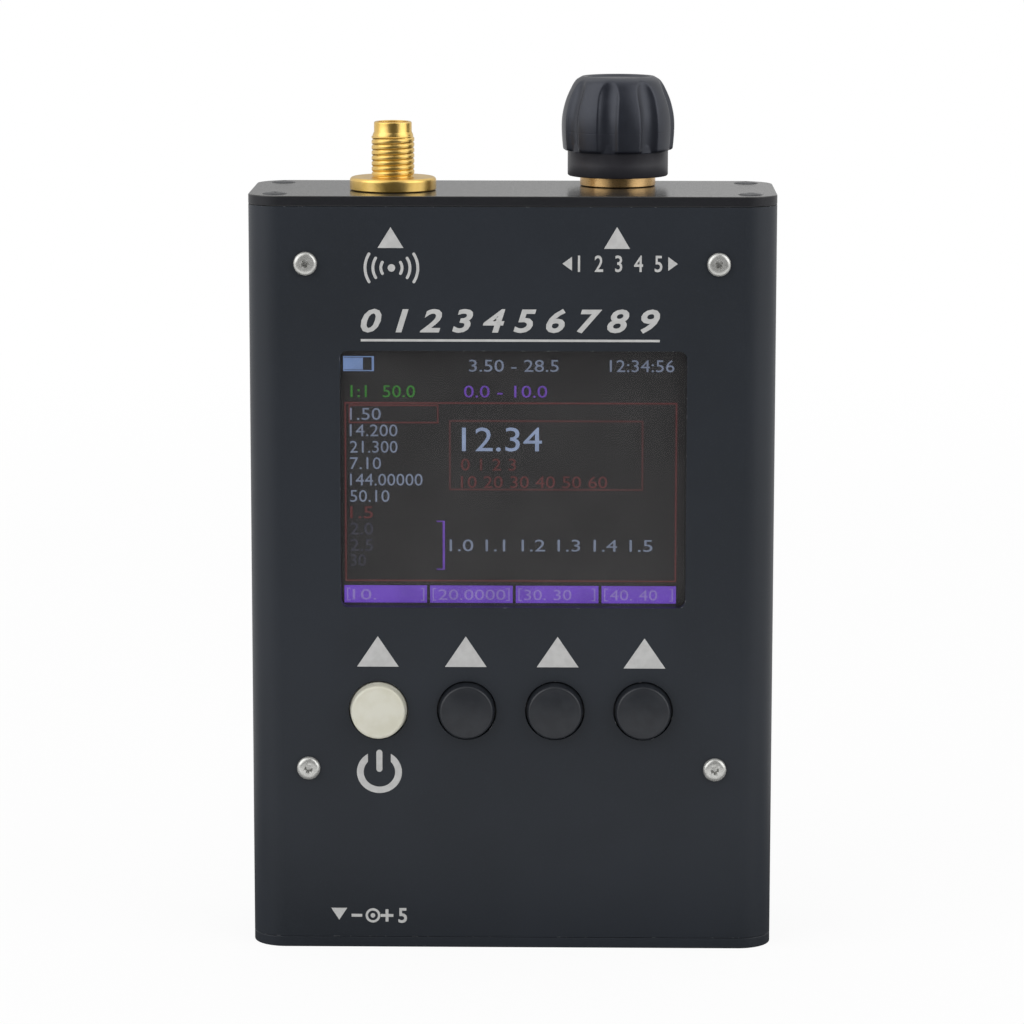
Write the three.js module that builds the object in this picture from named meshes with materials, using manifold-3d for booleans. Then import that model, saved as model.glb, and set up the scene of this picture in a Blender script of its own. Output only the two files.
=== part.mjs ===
// Handheld antenna analyzer: aluminium case, display, keys, RF jack, knob, board, battery and charging jack.
// Millimetres. X to the right, the front face looks to -Y, Z up. The origin is the middle of the bottom face.
import * as THREE from 'three';
import { mergeVertices } from 'three/addons/utils/BufferGeometryUtils.js';
import Module from 'manifold-3d';

const wasm = await Module();
wasm.setup();

// Clearances
const gap = 0.3; // between pieces that are mounted clear of each other
const snug = 0.15; // around pieces that slide or turn in each other
const film = 0.05; // under pieces that lie on each other
const cutOver = 1; // how far a cutter runs past what it cuts

// Case
const wall = 1.5;
const cornerRadius = 5;
const seamGap = 0.1;
const seamFromFront = 13.5;
const tongueThick = 0.6;
const tongueHeight = 1.6;
const topPlateThick = 1.5;
const bottomPlateThick = 1.6;
const plateScrewInset = 3.95;
const bossRadius = 2.5;
const bossBoreRadius = 1.25;
const sideRoom = 8.6; // from the display frame to the outer side face

// Small screws
const shankRadius = 0.95;
const plateHeadRadius = 1.75;
const plateHeadHeight = 0.85;
const plateHeadProud = 0.25;
const plateHeadSunk = 0.1;
const plateScrewLength = 6;
const frontHeadRadius = 1.73;
const frontHeadHeight = 0.95;
const frontHeadEdge = 0.35;
const recessRadius = 0.85;
const recessWidth = 0.3;
const recessDepth = 0.55;

// Face layout
const windowFromTop = 22.65;
const windowWidth = 50.8;
const windowHeight = 38.15;
const windowCorner = 1.1;
const windowOffset = 0.2;
const keysBelowWindow = 15.52;
const keysFromBottom = 36.18;
const keyDistance = 13.07;
const keyRowOffset = 0.13;
const frontScrewFromTop = 9.85;
const frontScrewFromBottom = 27.4;

// Keys
const capRadius = 4.2;
const capProud = 2.1;
const capChamfer = 0.55;
const capDish = 0.2;
const capFlangeRadius = 5.1;
const capFlangeThick = 0.7;
const capHoleGap = 0.2;
const plungerRadius = 1.7;
const plungerOut = 0.7;
const plungerIn = 1.9;
const keyTravel = 0.3;
const switchWidth = 6;
const switchHeight = 3.5;

// Display
const lensOverlap = 2.6;
const lensThick = 0.8;
const lensCorner = 0.8;
const glassWidth = 58.3;
const glassHeight = 41;
const glassThick = 1.2;
const frameRim = 0.7;
const frameCorner = 0.6;
const frameRise = 0.8; // how far the frame's rim stands up beside the glass
const displayDrop = 0.3; // the display's middle below the window's middle
const ribbonWidth = 22;
const ribbonThick = 0.2;
const ribbonDrop = 5;
const ribbonFoot = 1.6;

// Board
const boardThick = 1.6;
const boardEndGap = 2;
const boardCorner = 1.5;
const headroomHeight = 12; // free height under the top plate, between the board's ears
const earHalfWidth = 3.4;
const spacerRadius = 1.75;
const spacerBore = 1.25;
const spacerClear = 0.4;
const neckRadius = 1.45;
const canWidth = 26;
const canHeight = 20;
const canDepth = 3.4;
const canSheet = 0.3;
const canFromSide = 2.5;
const canFromNotch = 3.5;
const chipWidth = 12;
const chipThick = 1.4;
const chipFromCan = 9.5;
const chipCorner = 0.5;

// Battery
const partsRoom = 5.3; // free depth between the board and the battery
const batteryThick = 10.5;
const batteryWidth = 34;
const batteryHeight = 50;
const batteryFromBottom = 20;
const batteryRound = 3;
const padThick = 0.8;
const padInset = 3;
const leadRadius = 0.6; // half the thickness of the flat twin lead
const leadWidth = 2.4;
const leadBowLength = 5;
const plugWidth = 6;
const plugHeight = 5;
const plugDepth = 4;
const plugFromSide = 10; // from the board's side edge to the plug's middle
const plugBelowChip = 1.5;

// Charging jack
const jackFromSide = 13.05;
const jackWidth = 9;
const jackDepth = 7.4;
const jackHeight = 11;
const jackNoseRadius = 3.4;
const jackBoreRadius = 2.8;
const jackBoreDepth = 9;
const jackPinRadius = 0.95;
const jackPinShort = 0.6;
const jackCorner = 0.6;

// RF jack
const rfFromSide = 20.99;
const rfFromFront = 10.8;
const rfThreadRadius = 3.175;
const rfRootRadius = 2.76;
const rfPitch = 0.79375;
const rfFlangeRadius = 6.38;
const rfFlangeThick = 1.95;
const rfFlangeEdge = 0.25;
const rfNeckLength = 0.604; // plain neck between flange and thread
const rfThreadTurns = 7;
const rfNoseRadius = 2.79;
const rfNoseLength = 1.985;
const rfNoseEdge = 0.25;
const rfTailRadius = 3.1;
const rfTailLength = 7;
const rfBoreRadius = 2.3;
const rfInsulatorSink = 0.6;
const rfContactRadius = 0.63;
const rfContactBore = 0.4;
const rfContactDepth = 3;
const rfContactTail = 1.5;
const rfNutFlats = 8;
const rfNutThick = 2;
const rfNutSides = 6;
const rfWasherRadius = 4.8;
const washerThick = 0.5;
const coaxRadius = 0.9;
const coaxBowLength = 4;

// Encoder and knob
const encoderFromSide = 23.25;
const encoderWidth = 12;
const encoderPlateThick = 1.2;
const encoderCaseHeight = 5.5;
const encoderFloor = 1;
const encoderCavityRadius = 5;
const bushingRadius = 3.5;
const bushingRise = 4;
const shaftRadius = 3;
const shaftFlatDepth = 0.8;
const shaftFlatLength = 7;
const shaftTipRadius = 1.7;
const shaftTipFlat = 0.4;
const shaftCollarRadius = 3.9;
const shaftCollarThick = 0.6;
const shaftTopWall = 2.2; // knob material above the shaft's end
const pushTravel = 0.5; // how far the knob presses the shaft down
const rotorThick = 1.5;
const encoderWasherRadius = 5.4;
const nutRadius = 5.63;
const nutThick = 2.3;
const nutEdge = 0.25;
const nutSlotWidth = 1.4;
const nutSlotDepth = 0.7;
const knobLift = 1.55; // from the top plate up to the knob's lower edge
const knobRadius = 8.4;
const knobHeight = 14.73;
const knobSkirtRadius = 7.5;
const knobSkirtHeight = 3.75;
const knobCavityRadius = 6.3;
const knobCavityDepth = 3.2;
const knobDish = 0.35;
const knobDishRadius = 4.9;
const flutes = 8;
const fluteRadius = 2.1;
const fluteDepth = 0.85;
const fluteTurnShare = 0.25; // the middle of the first flute, as a share of the angle between flutes
const fluteEndShare = 0.125; // how far the flute's end leans out, as a share of its radius
const fluteRiseShare = 0.0625; // how far the flute's end rises, as a share of the height above the skirt
const clipThick = 0.3;
const clipWidth = 3;
const clipLength = 5;
const harnessWidth = 8;
const harnessThick = 0.6;
const harnessStraight = 1.2; // straight part below the encoder
const harnessDrop = 6;

// Widths and heights that follow from these
const frameWidth = glassWidth + 2 * (frameRim + gap);
const frameHeight = glassHeight + 2 * (frameRim + gap);
const caseWidth = frameWidth + 2 * sideRoom;
const caseHeight = windowFromTop + windowHeight + keysBelowWindow + keysFromBottom;
const boardFront = wall + gap + capFlangeThick + gap + plungerOut + switchHeight;
const boardBack = boardFront + boardThick;
const caseDepth = boardBack + partsRoom + batteryThick + padThick + 2 * snug + wall;
const plateTop = caseHeight - topPlateThick; // the underside of the top plate
const frontScrewX = caseWidth / 2 - plateScrewInset - bossRadius - spacerRadius - spacerClear;
const windowMiddle = caseHeight - windowFromTop - windowHeight / 2;
const displayMiddle = windowMiddle - displayDrop;
const displayFront = wall + 2 * film + lensThick + snug;
const rfAxis = [rfFromSide - caseWidth / 2, rfFromFront - caseDepth / 2];
const encoderAxis = [caseWidth / 2 - encoderFromSide, caseDepth / 2 - wall - gap - encoderWidth / 2];
const jackAxis = [jackFromSide - caseWidth / 2, boardBack + snug + jackDepth / 2 - caseDepth / 2];
const boardBottom = bottomPlateThick + boardEndGap;
const boardTop = plateTop - boardEndGap;
const notchBottom = plateTop - headroomHeight;
const boardHalfWidth = caseWidth / 2 - plateScrewInset - bossRadius - gap;
const knobRise = knobHeight - knobSkirtHeight;
const canMiddle = -boardHalfWidth + canFromSide + canWidth / 2;
const canLevel = notchBottom - canFromNotch - canHeight / 2;
const plugLevel = canLevel - chipWidth / 2 - plugBelowChip - plugHeight / 2;

// Facets of round forms
const roundSides = 28;
const smallSides = 12;
const wireSides = 8;
const knobSides = 40;
const fluteSides = 6;
const fluteSteps = 7;
const cornerSides = 4;

// Finishes
const paint = { color: 0x2c2f33, roughness: 0.42, metalness: 0.3 };
const gold = { color: 0xc9a24a, roughness: 0.25, metalness: 1 };
const brightSteel = { color: 0xc9c9c4, roughness: 0.3, metalness: 1 };
const darkSteel = { color: 0x3a3b3d, roughness: 0.35, metalness: 0.9 };
const blackPlastic = { color: 0x2b2d32, roughness: 0.5, metalness: 0 };
const creamPlastic = { color: 0xcbc9bd, roughness: 0.45, metalness: 0 };
const whitePlastic = { color: 0xe6e6e2, roughness: 0.5, metalness: 0 };
const clearPlastic = { color: 0x8a9096, roughness: 0.1, metalness: 0, transparent: true, opacity: 0.3 };
const displayGlass = { color: 0x343437, roughness: 0.15, metalness: 0 };
const boardGreen = { color: 0x1e5a34, roughness: 0.5, metalness: 0 };
const tinPlate = { color: 0xb4b6b8, roughness: 0.3, metalness: 1 };
const amberFilm = { color: 0xb0742c, roughness: 0.4, metalness: 0 };
const foam = { color: 0xdddddd, roughness: 0.9, metalness: 0 };
const batterySkin = { color: 0x9fa6ad, roughness: 0.4, metalness: 0.4 };
const redWire = { color: 0xb02020, roughness: 0.5, metalness: 0 };
const brownCoax = { color: 0x6b4a2a, roughness: 0.5, metalness: 0 };

// Turns a closed mesh into a solid that can be joined and cut.
function solidOf(geometry) {
  const bare = geometry.index ? geometry.toNonIndexed() : geometry.clone();
  bare.deleteAttribute('normal');
  bare.deleteAttribute('uv');
  const welded = mergeVertices(bare);
  const corners = [];
  for (let i = 0; i < welded.index.count; i += 3) {
    const [a, b, c] = [0, 1, 2].map((k) => welded.index.getX(i + k));
    if (a !== b && b !== c && c !== a) corners.push(a, b, c);
  }
  const vertProperties = new Float32Array(welded.attributes.position.array);
  return new wasm.Manifold(new wasm.Mesh({ numProp: 3, vertProperties, triVerts: new Uint32Array(corners) }));
}

// Turns a joined or cut solid back into a mesh geometry.
function geometryOf(solid) {
  const mesh = solid.getMesh();
  const geometry = new THREE.BufferGeometry();
  geometry.setAttribute('position', new THREE.BufferAttribute(mesh.vertProperties, mesh.numProp));
  geometry.setIndex(new THREE.BufferAttribute(mesh.triVerts, 1));
  return geometry;
}

// Cuts a list of geometries from one, after joining others to it.
function carve(base, { joins = [], cuts = [] }) {
  let solid = solidOf(base);
  for (const join of joins) solid = solid.add(solidOf(join));
  for (const cut of cuts) solid = solid.subtract(solidOf(cut));
  return geometryOf(solid);
}

// A rounded rectangle around the origin.
function roundedRectangle(width, height, radius) {
  const [x, y] = [width / 2 - radius, height / 2 - radius];
  const shape = new THREE.Shape();
  shape.absarc(x, -y, radius, -Math.PI / 2, 0);
  shape.absarc(x, y, radius, 0, Math.PI / 2);
  shape.absarc(-x, y, radius, Math.PI / 2, Math.PI);
  shape.absarc(-x, -y, radius, Math.PI, 1.5 * Math.PI);
  shape.closePath();
  return shape;
}

// A shape pulled up along Z between two heights.
function pulled(shape, from, to, sides = cornerSides) {
  const options = { depth: to - from, bevelEnabled: false, curveSegments: sides };
  return new THREE.ExtrudeGeometry(shape, options).translate(0, 0, from);
}

// A rounded slab along Z.
function slab(width, height, radius, from, to) {
  return pulled(roundedRectangle(width, height, radius), from, to);
}

// A plain block between two heights.
function block(width, depth, from, to) {
  return new THREE.BoxGeometry(width, depth, to - from).translate(0, 0, (from + to) / 2);
}

// A round rod along Z.
function rod(radius, from, to, sides = smallSides, topRadius = radius) {
  const cylinder = new THREE.CylinderGeometry(topRadius, radius, to - from, sides);
  return cylinder.rotateX(Math.PI / 2).translate(0, 0, (from + to) / 2);
}

// A profile of [radius, height] points turned around Z, outer side going up.
function turned(profile, sides = roundSides) {
  const points = profile.map(([radius, height]) => new THREE.Vector2(radius, height));
  return new THREE.LatheGeometry(points, sides).rotateX(Math.PI / 2);
}

// A plain ring along Z.
function ring(outer, inner, from, to, sides = roundSides) {
  return turned([[outer, from], [outer, to], [inner, to], [inner, from], [outer, from]], sides);
}

// A round section with one flat towards +X.
function flattedCircle(radius, flatDepth) {
  const half = Math.acos((radius - flatDepth) / radius);
  const shape = new THREE.Shape();
  shape.absarc(0, 0, radius, half, 2 * Math.PI - half);
  shape.closePath();
  return shape;
}

// A band of even thickness along a line of points, as a closed shape.
function bandShape(points, thick) {
  const line = points.map(([x, y]) => new THREE.Vector2(x, y));
  const sides = [[], []];
  line.forEach((point, i) => {
    const before = line[Math.max(i - 1, 0)];
    const after = line[Math.min(i + 1, line.length - 1)];
    const first = point.clone().sub(before).normalize();
    const second = after.clone().sub(point).normalize();
    const along = first.add(second).normalize();
    const across = new THREE.Vector2(-along.y, along.x).multiplyScalar(thick / 2);
    sides[0].push(point.clone().add(across));
    sides[1].unshift(point.clone().sub(across));
  });
  return new THREE.Shape([...sides[0], ...sides[1]]);
}

// A flat ribbon of even thickness along a line of [out of the front, height] points, its width along X.
function ribbonAlong(points, thick, width) {
  const ribbon = pulled(bandShape(points, thick), -width / 2, width / 2);
  const turn = new THREE.Matrix4();
  turn.makeBasis(new THREE.Vector3(0, 1, 0), new THREE.Vector3(0, 0, 1), new THREE.Vector3(1, 0, 0));
  return ribbon.applyMatrix4(turn);
}

// A wire along a smooth curve from start to end, leaving and arriving along given directions.
function wire(section, start, startWay, end, endWay, bow, sides) {
  const [a, b] = [new THREE.Vector3(...start), new THREE.Vector3(...end)];
  const leave = a.clone().addScaledVector(new THREE.Vector3(...startWay), bow);
  const arrive = b.clone().addScaledVector(new THREE.Vector3(...endWay), bow);
  const path = new THREE.CubicBezierCurve3(a, leave, arrive, b);
  const options = { extrudePath: path, steps: wireSides, curveSegments: sides, bevelEnabled: false };
  return new THREE.ExtrudeGeometry(section, options);
}

const object = new THREE.Group();
const frontGroup = new THREE.Group();
frontGroup.rotation.x = Math.PI / 2;
frontGroup.position.y = -caseDepth / 2;
const rfGroup = new THREE.Group();
rfGroup.position.set(...rfAxis, caseHeight);
const encoderGroup = new THREE.Group();
encoderGroup.position.set(...encoderAxis, plateTop);
object.add(frontGroup, rfGroup, encoderGroup);

// Adds one named piece to a group, at a place in that group.
function piece(name, geometry, finish, group = object, place = [0, 0, 0]) {
  const mesh = new THREE.Mesh(geometry, new THREE.MeshStandardMaterial(finish));
  mesh.name = name;
  mesh.position.set(...place);
  group.add(mesh);
  return mesh;
}

const keyPlaces = [-1.5, -0.5, 0.5, 1.5].map((steps) => [steps * keyDistance - keyRowOffset, keysFromBottom]);
const frontScrewPlaces = [
  [-frontScrewX, caseHeight - frontScrewFromTop],
  [frontScrewX, caseHeight - frontScrewFromTop],
  [-frontScrewX, frontScrewFromBottom],
  [frontScrewX, frontScrewFromBottom],
];
const cornerX = caseWidth / 2 - plateScrewInset;
const cornerY = caseDepth / 2 - plateScrewInset;
const cornerPlaces = [[-cornerX, -cornerY], [cornerX, -cornerY], [-cornerX, cornerY], [cornerX, cornerY]];

// One half of the case: a channel with its face at depth 0 and its open side at the given depth.
function channelShape(depth, hasTongue) {
  const [x, r] = [caseWidth / 2, cornerRadius];
  const step = hasTongue ? x - wall + tongueThick : x - wall + tongueThick + snug;
  const inner = x - wall;
  const end = hasTongue ? depth + tongueHeight : depth - tongueHeight - gap;
  const shape = new THREE.Shape();
  shape.moveTo(x, depth);
  shape.lineTo(step, depth);
  shape.lineTo(step, end);
  shape.lineTo(inner, end);
  shape.absarc(x - r, r, r - wall, 0, -Math.PI / 2, true);
  shape.absarc(-x + r, r, r - wall, -Math.PI / 2, -Math.PI, true);
  shape.lineTo(-inner, end);
  shape.lineTo(-step, end);
  shape.lineTo(-step, depth);
  shape.lineTo(-x, depth);
  shape.absarc(-x + r, r, r, Math.PI, 1.5 * Math.PI);
  shape.absarc(x - r, r, r, 1.5 * Math.PI, 2 * Math.PI);
  shape.closePath();
  return shape;
}

// One half of the case with its two screw channels, its face at depth 0 along +Y.
function halfShell(depth, hasTongue, cuts) {
  const from = bottomPlateThick + seamGap;
  const to = plateTop - seamGap;
  const joins = [];
  const bores = [];
  for (const x of [-cornerX, cornerX]) {
    joins.push(rod(bossRadius, from, to, smallSides).translate(x, plateScrewInset, 0));
    bores.push(rod(bossBoreRadius, from - cutOver, to + cutOver, wireSides).translate(x, plateScrewInset, 0));
  }
  return carve(pulled(channelShape(depth, hasTongue), from, to), { joins, cuts: [...bores, ...cuts] });
}

// Front and rear shells
function makeShells() {
  const [front, back] = [cutOver, -wall - cutOver];
  const window = slab(windowWidth, windowHeight, windowCorner, back, front);
  const cuts = [window.translate(windowOffset, windowMiddle, 0)];
  for (const [x, height] of keyPlaces) {
    cuts.push(rod(capRadius + capHoleGap, back, front, roundSides).translate(x, height, 0));
  }
  for (const [x, height] of frontScrewPlaces) {
    cuts.push(rod(shankRadius + gap, back, front, smallSides).translate(x, height, 0));
  }
  const inFace = cuts.map((cut) => cut.rotateX(Math.PI / 2));
  const frontShell = halfShell(seamFromFront - seamGap / 2, false, inFace);
  piece('front_shell', frontShell, paint, object, [0, -caseDepth / 2, 0]);
  const rearShell = halfShell(caseDepth - seamFromFront - seamGap / 2, true, []);
  const rear = piece('rear_shell', rearShell, paint, object, [0, caseDepth / 2, 0]);
  rear.rotation.z = Math.PI;
}

// Cutter for a countersunk screw hole, its top at height 0.
function countersink(thick) {
  const wide = plateHeadRadius + snug;
  const narrow = shankRadius + snug;
  const shoulder = plateHeadHeight + snug;
  const profile = [
    [0, -thick - cutOver],
    [narrow, -thick - cutOver],
    [narrow, -shoulder],
    [wide, 0],
    [wide, cutOver],
    [0, cutOver],
  ];
  return turned(profile, smallSides);
}

// Top and bottom end plates
function makePlates() {
  const topCuts = cornerPlaces.map(([x, y]) => countersink(topPlateThick).translate(x, y, caseHeight));
  const through = [plateTop - cutOver, caseHeight + cutOver];
  topCuts.push(rod(rfTailRadius + snug, ...through, roundSides).translate(...rfAxis, 0));
  topCuts.push(rod(bushingRadius + snug, ...through, roundSides).translate(...encoderAxis, 0));
  const topPlate = slab(caseWidth, caseDepth, cornerRadius, plateTop, caseHeight);
  piece('top_plate', carve(topPlate, { cuts: topCuts }), paint);

  const bottomCuts = cornerPlaces.map(([x, y]) => (
    countersink(bottomPlateThick).rotateX(Math.PI).translate(x, y, 0)
  ));
  const jackHole = rod(jackNoseRadius + snug, -cutOver, bottomPlateThick + cutOver, roundSides);
  bottomCuts.push(jackHole.translate(...jackAxis, 0));
  const bottomPlate = slab(caseWidth, caseDepth, cornerRadius, 0, bottomPlateThick);
  piece('bottom_plate', carve(bottomPlate, { cuts: bottomCuts }), paint);
}

// The two crossing slots of a driver recess, cut down from a height.
function crossRecess(top) {
  const across = block(2 * recessRadius, recessWidth, top - recessDepth, top + cutOver);
  return [across, across.clone().rotateZ(Math.PI / 2)];
}

// A countersunk screw with a slightly domed head, its rim at height 0.
function plateScrew(proud) {
  const profile = [
    [0, -plateScrewLength],
    [shankRadius, -plateScrewLength],
    [shankRadius, -plateHeadHeight],
    [plateHeadRadius, 0],
    [recessRadius, proud],
    [0, proud],
  ];
  return carve(turned(profile, smallSides), { cuts: crossRecess(proud) });
}

// Corner screws of both end plates
function makePlateScrews() {
  cornerPlaces.forEach(([x, y], i) => {
    piece(`top_plate_screw_${i + 1}`, plateScrew(plateHeadProud), darkSteel, object, [x, y, caseHeight]);
  });
  cornerPlaces.forEach(([x, y], i) => {
    const place = [x, y, plateHeadSunk];
    const screw = piece(`bottom_plate_screw_${i + 1}`, plateScrew(0), darkSteel, object, place);
    screw.rotation.x = Math.PI;
  });
}

// Front screws and the threaded spacers that they hold the board by
function makeFrontScrews() {
  const length = boardFront - 2 * gap;
  const profile = [
    [0, -length],
    [shankRadius, -length],
    [shankRadius, film],
    [frontHeadRadius, film],
    [frontHeadRadius, frontHeadEdge],
    [(frontHeadRadius + recessRadius) / 2, frontHeadHeight - film],
    [recessRadius, frontHeadHeight],
    [0, frontHeadHeight],
  ];
  const neckEnd = -boardBack + gap;
  const spacerProfile = [
    [neckRadius, neckEnd],
    [neckRadius, -boardFront + film],
    [spacerRadius, -boardFront + film],
    [spacerRadius, -wall - film],
    [spacerBore, -wall - film],
    [spacerBore, neckEnd],
    [neckRadius, neckEnd],
  ];
  frontScrewPlaces.forEach(([x, height], i) => {
    const screw = carve(turned(profile, smallSides), { cuts: crossRecess(frontHeadHeight) });
    piece(`front_screw_${i + 1}`, screw, brightSteel, frontGroup, [x, height, 0]);
    piece(`board_spacer_${i + 1}`, turned(spacerProfile, smallSides), gold, frontGroup, [x, height, 0]);
  });
}

// Key caps, switches and plungers
function makeKeys() {
  const switchTop = -boardFront + switchHeight;
  const plungerTop = switchTop + plungerOut;
  const capBack = plungerTop + gap;
  const flangeFront = capBack + capFlangeThick;
  const capProfile = [
    [0, capBack],
    [capFlangeRadius, capBack],
    [capFlangeRadius, flangeFront],
    [capRadius, flangeFront],
    [capRadius, capProud - capChamfer],
    [capRadius - capChamfer, capProud],
    [capRadius / 2, capProud - capDish],
    [0, capProud - capDish],
  ];
  const wellRadius = plungerRadius + snug;
  const names = ['power', 'key_1', 'key_2', 'key_3'];
  keyPlaces.forEach(([x, height], i) => {
    const place = [x, height, 0];
    const capFinish = i === 0 ? creamPlastic : blackPlastic;
    piece(`${names[i]}_cap`, turned(capProfile, roundSides), capFinish, frontGroup, place);
    const plunger = rod(plungerRadius, switchTop - plungerIn, plungerTop, smallSides);
    piece(`${names[i]}_plunger`, plunger, blackPlastic, frontGroup, place);
    const base = block(switchWidth, switchWidth, -boardFront + film, switchTop);
    const well = rod(wellRadius, switchTop - plungerIn - keyTravel - gap, switchTop + cutOver, smallSides);
    piece(`${names[i]}_switch`, carve(base, { cuts: [well] }), tinPlate, frontGroup, place);
  });
}

// Window sheet, display glass, its frame and its ribbon, soldered to the board
function makeDisplay() {
  const lensFront = -wall - film;
  const [lensWidth, lensHeight] = [windowWidth + 2 * lensOverlap, windowHeight + 2 * lensOverlap];
  const lens = slab(lensWidth, lensHeight, lensCorner, lensFront - lensThick, lensFront);
  piece('window_sheet', lens, clearPlastic, frontGroup, [windowOffset, windowMiddle, 0]);

  const glassBack = -displayFront - glassThick;
  const glass = slab(glassWidth, glassHeight, frameCorner, glassBack, -displayFront);
  piece('display_glass', glass, displayGlass, frontGroup, [0, displayMiddle, 0]);

  const frameBack = -boardFront + gap;
  const frame = slab(frameWidth, frameHeight, frameCorner, frameBack, glassBack - film + frameRise);
  const pocket = slab(
    glassWidth + 2 * gap, glassHeight + 2 * gap, frameCorner, glassBack - film, -displayFront + cutOver,
  );
  piece('display_frame', carve(frame, { cuts: [pocket] }), whitePlastic, frontGroup, [0, displayMiddle, 0]);

  const frameBottom = displayMiddle - frameHeight / 2;
  const ribbonStart = (glassBack + frameBack) / 2;
  const ribbonEnd = -boardFront + film + ribbonThick / 2;
  const ribbonLine = [
    [frameBottom - snug, ribbonStart],
    [frameBottom - ribbonDrop / 4, ribbonStart],
    [frameBottom - ribbonDrop + ribbonFoot, ribbonEnd],
    [frameBottom - ribbonDrop, ribbonEnd],
  ];
  const ribbon = ribbonAlong(ribbonLine, ribbonThick, ribbonWidth);
  piece('display_ribbon', ribbon, amberFilm, frontGroup);
}

// Main board between the screw channels, with two ears beside the top notch
function makeBoard() {
  const ear = frontScrewX - earHalfWidth;
  const outline = new THREE.Shape([
    [-boardHalfWidth, boardBottom],
    [boardHalfWidth, boardBottom],
    [boardHalfWidth, boardTop],
    [ear, boardTop],
    [ear, notchBottom],
    [-ear, notchBottom],
    [-ear, boardTop],
    [-boardHalfWidth, boardTop],
  ].map(([x, height]) => new THREE.Vector2(x, height)));
  const cuts = frontScrewPlaces.map(([x, height]) => (
    rod(neckRadius + snug, -boardBack - cutOver, -boardFront + cutOver, smallSides).translate(x, height, 0)
  ));
  piece('main_board', carve(pulled(outline, -boardBack, -boardFront), { cuts }), boardGreen, frontGroup);

  const back = -boardBack - film;
  const can = slab(canWidth, canHeight, boardCorner, back - canDepth, back);
  const hollow = slab(
    canWidth - 2 * canSheet, canHeight - 2 * canSheet, boardCorner - canSheet, back - canDepth + canSheet,
    back + cutOver,
  );
  piece('rf_shield_can', carve(can, { cuts: [hollow] }), tinPlate, frontGroup, [canMiddle, canLevel, 0]);

  const chip = slab(chipWidth, chipWidth, chipCorner, back - chipThick, back);
  const chipMiddle = canMiddle + canWidth / 2 + chipFromCan + chipWidth / 2;
  piece('processor_chip', chip, blackPlastic, frontGroup, [chipMiddle, canLevel, 0]);
}

// Battery on the rear wall, its pad, leads and plug
function makeBattery() {
  const rearInner = caseDepth / 2 - wall;
  const batteryTop = batteryFromBottom + batteryHeight;
  const middle = (batteryFromBottom + batteryTop) / 2;
  const pad = new THREE.BoxGeometry(batteryWidth - 2 * padInset, padThick, batteryHeight - 2 * padInset);
  piece('battery_pad', pad, foam, object, [0, rearInner - snug - padThick / 2, middle]);
  const batteryBack = rearInner - 2 * snug - padThick;
  const cell = slab(batteryWidth, batteryThick, batteryRound, batteryFromBottom, batteryTop);
  piece('battery', cell, batterySkin, object, [0, batteryBack - batteryThick / 2, 0]);

  const plugMiddle = boardHalfWidth - plugFromSide;
  const plug = block(plugWidth, plugHeight, -boardBack - film - plugDepth, -boardBack - film);
  piece('battery_plug', plug, whitePlastic, frontGroup, [plugMiddle, plugLevel, 0]);

  const plugY = boardBack + film + plugDepth / 2 - caseDepth / 2;
  const start = [(batteryWidth - batteryRound) / 4, batteryBack - batteryThick / 2, batteryTop + snug];
  const end = [plugMiddle - plugWidth / 2 - snug, plugY, plugLevel];
  const twin = roundedRectangle(leadWidth, 2 * leadRadius, leadRadius);
  piece('battery_lead', wire(twin, start, [0, 0, 1], end, [-1, 0, 0], leadBowLength, 1), redWire);
}

// Charging jack on the lower edge of the board, its mouth in the bottom plate
function makeChargingJack() {
  const bodyBottom = bottomPlateThick + gap;
  const mouth = plateHeadSunk;
  const body = slab(jackWidth, jackDepth, jackCorner, bodyBottom, bodyBottom + jackHeight);
  const nose = rod(jackNoseRadius, mouth, bodyBottom + cutOver, roundSides);
  const bore = rod(jackBoreRadius, mouth - cutOver, mouth + jackBoreDepth, roundSides);
  const place = [...jackAxis, 0];
  piece('charging_jack', carve(body, { joins: [nose], cuts: [bore] }), blackPlastic, object, place);
  const pinTop = mouth + jackBoreDepth - film;
  const pin = rod(jackPinRadius, mouth + jackPinShort, pinTop, smallSides);
  piece('charging_jack_pin', pin, tinPlate, object, place);
}

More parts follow.
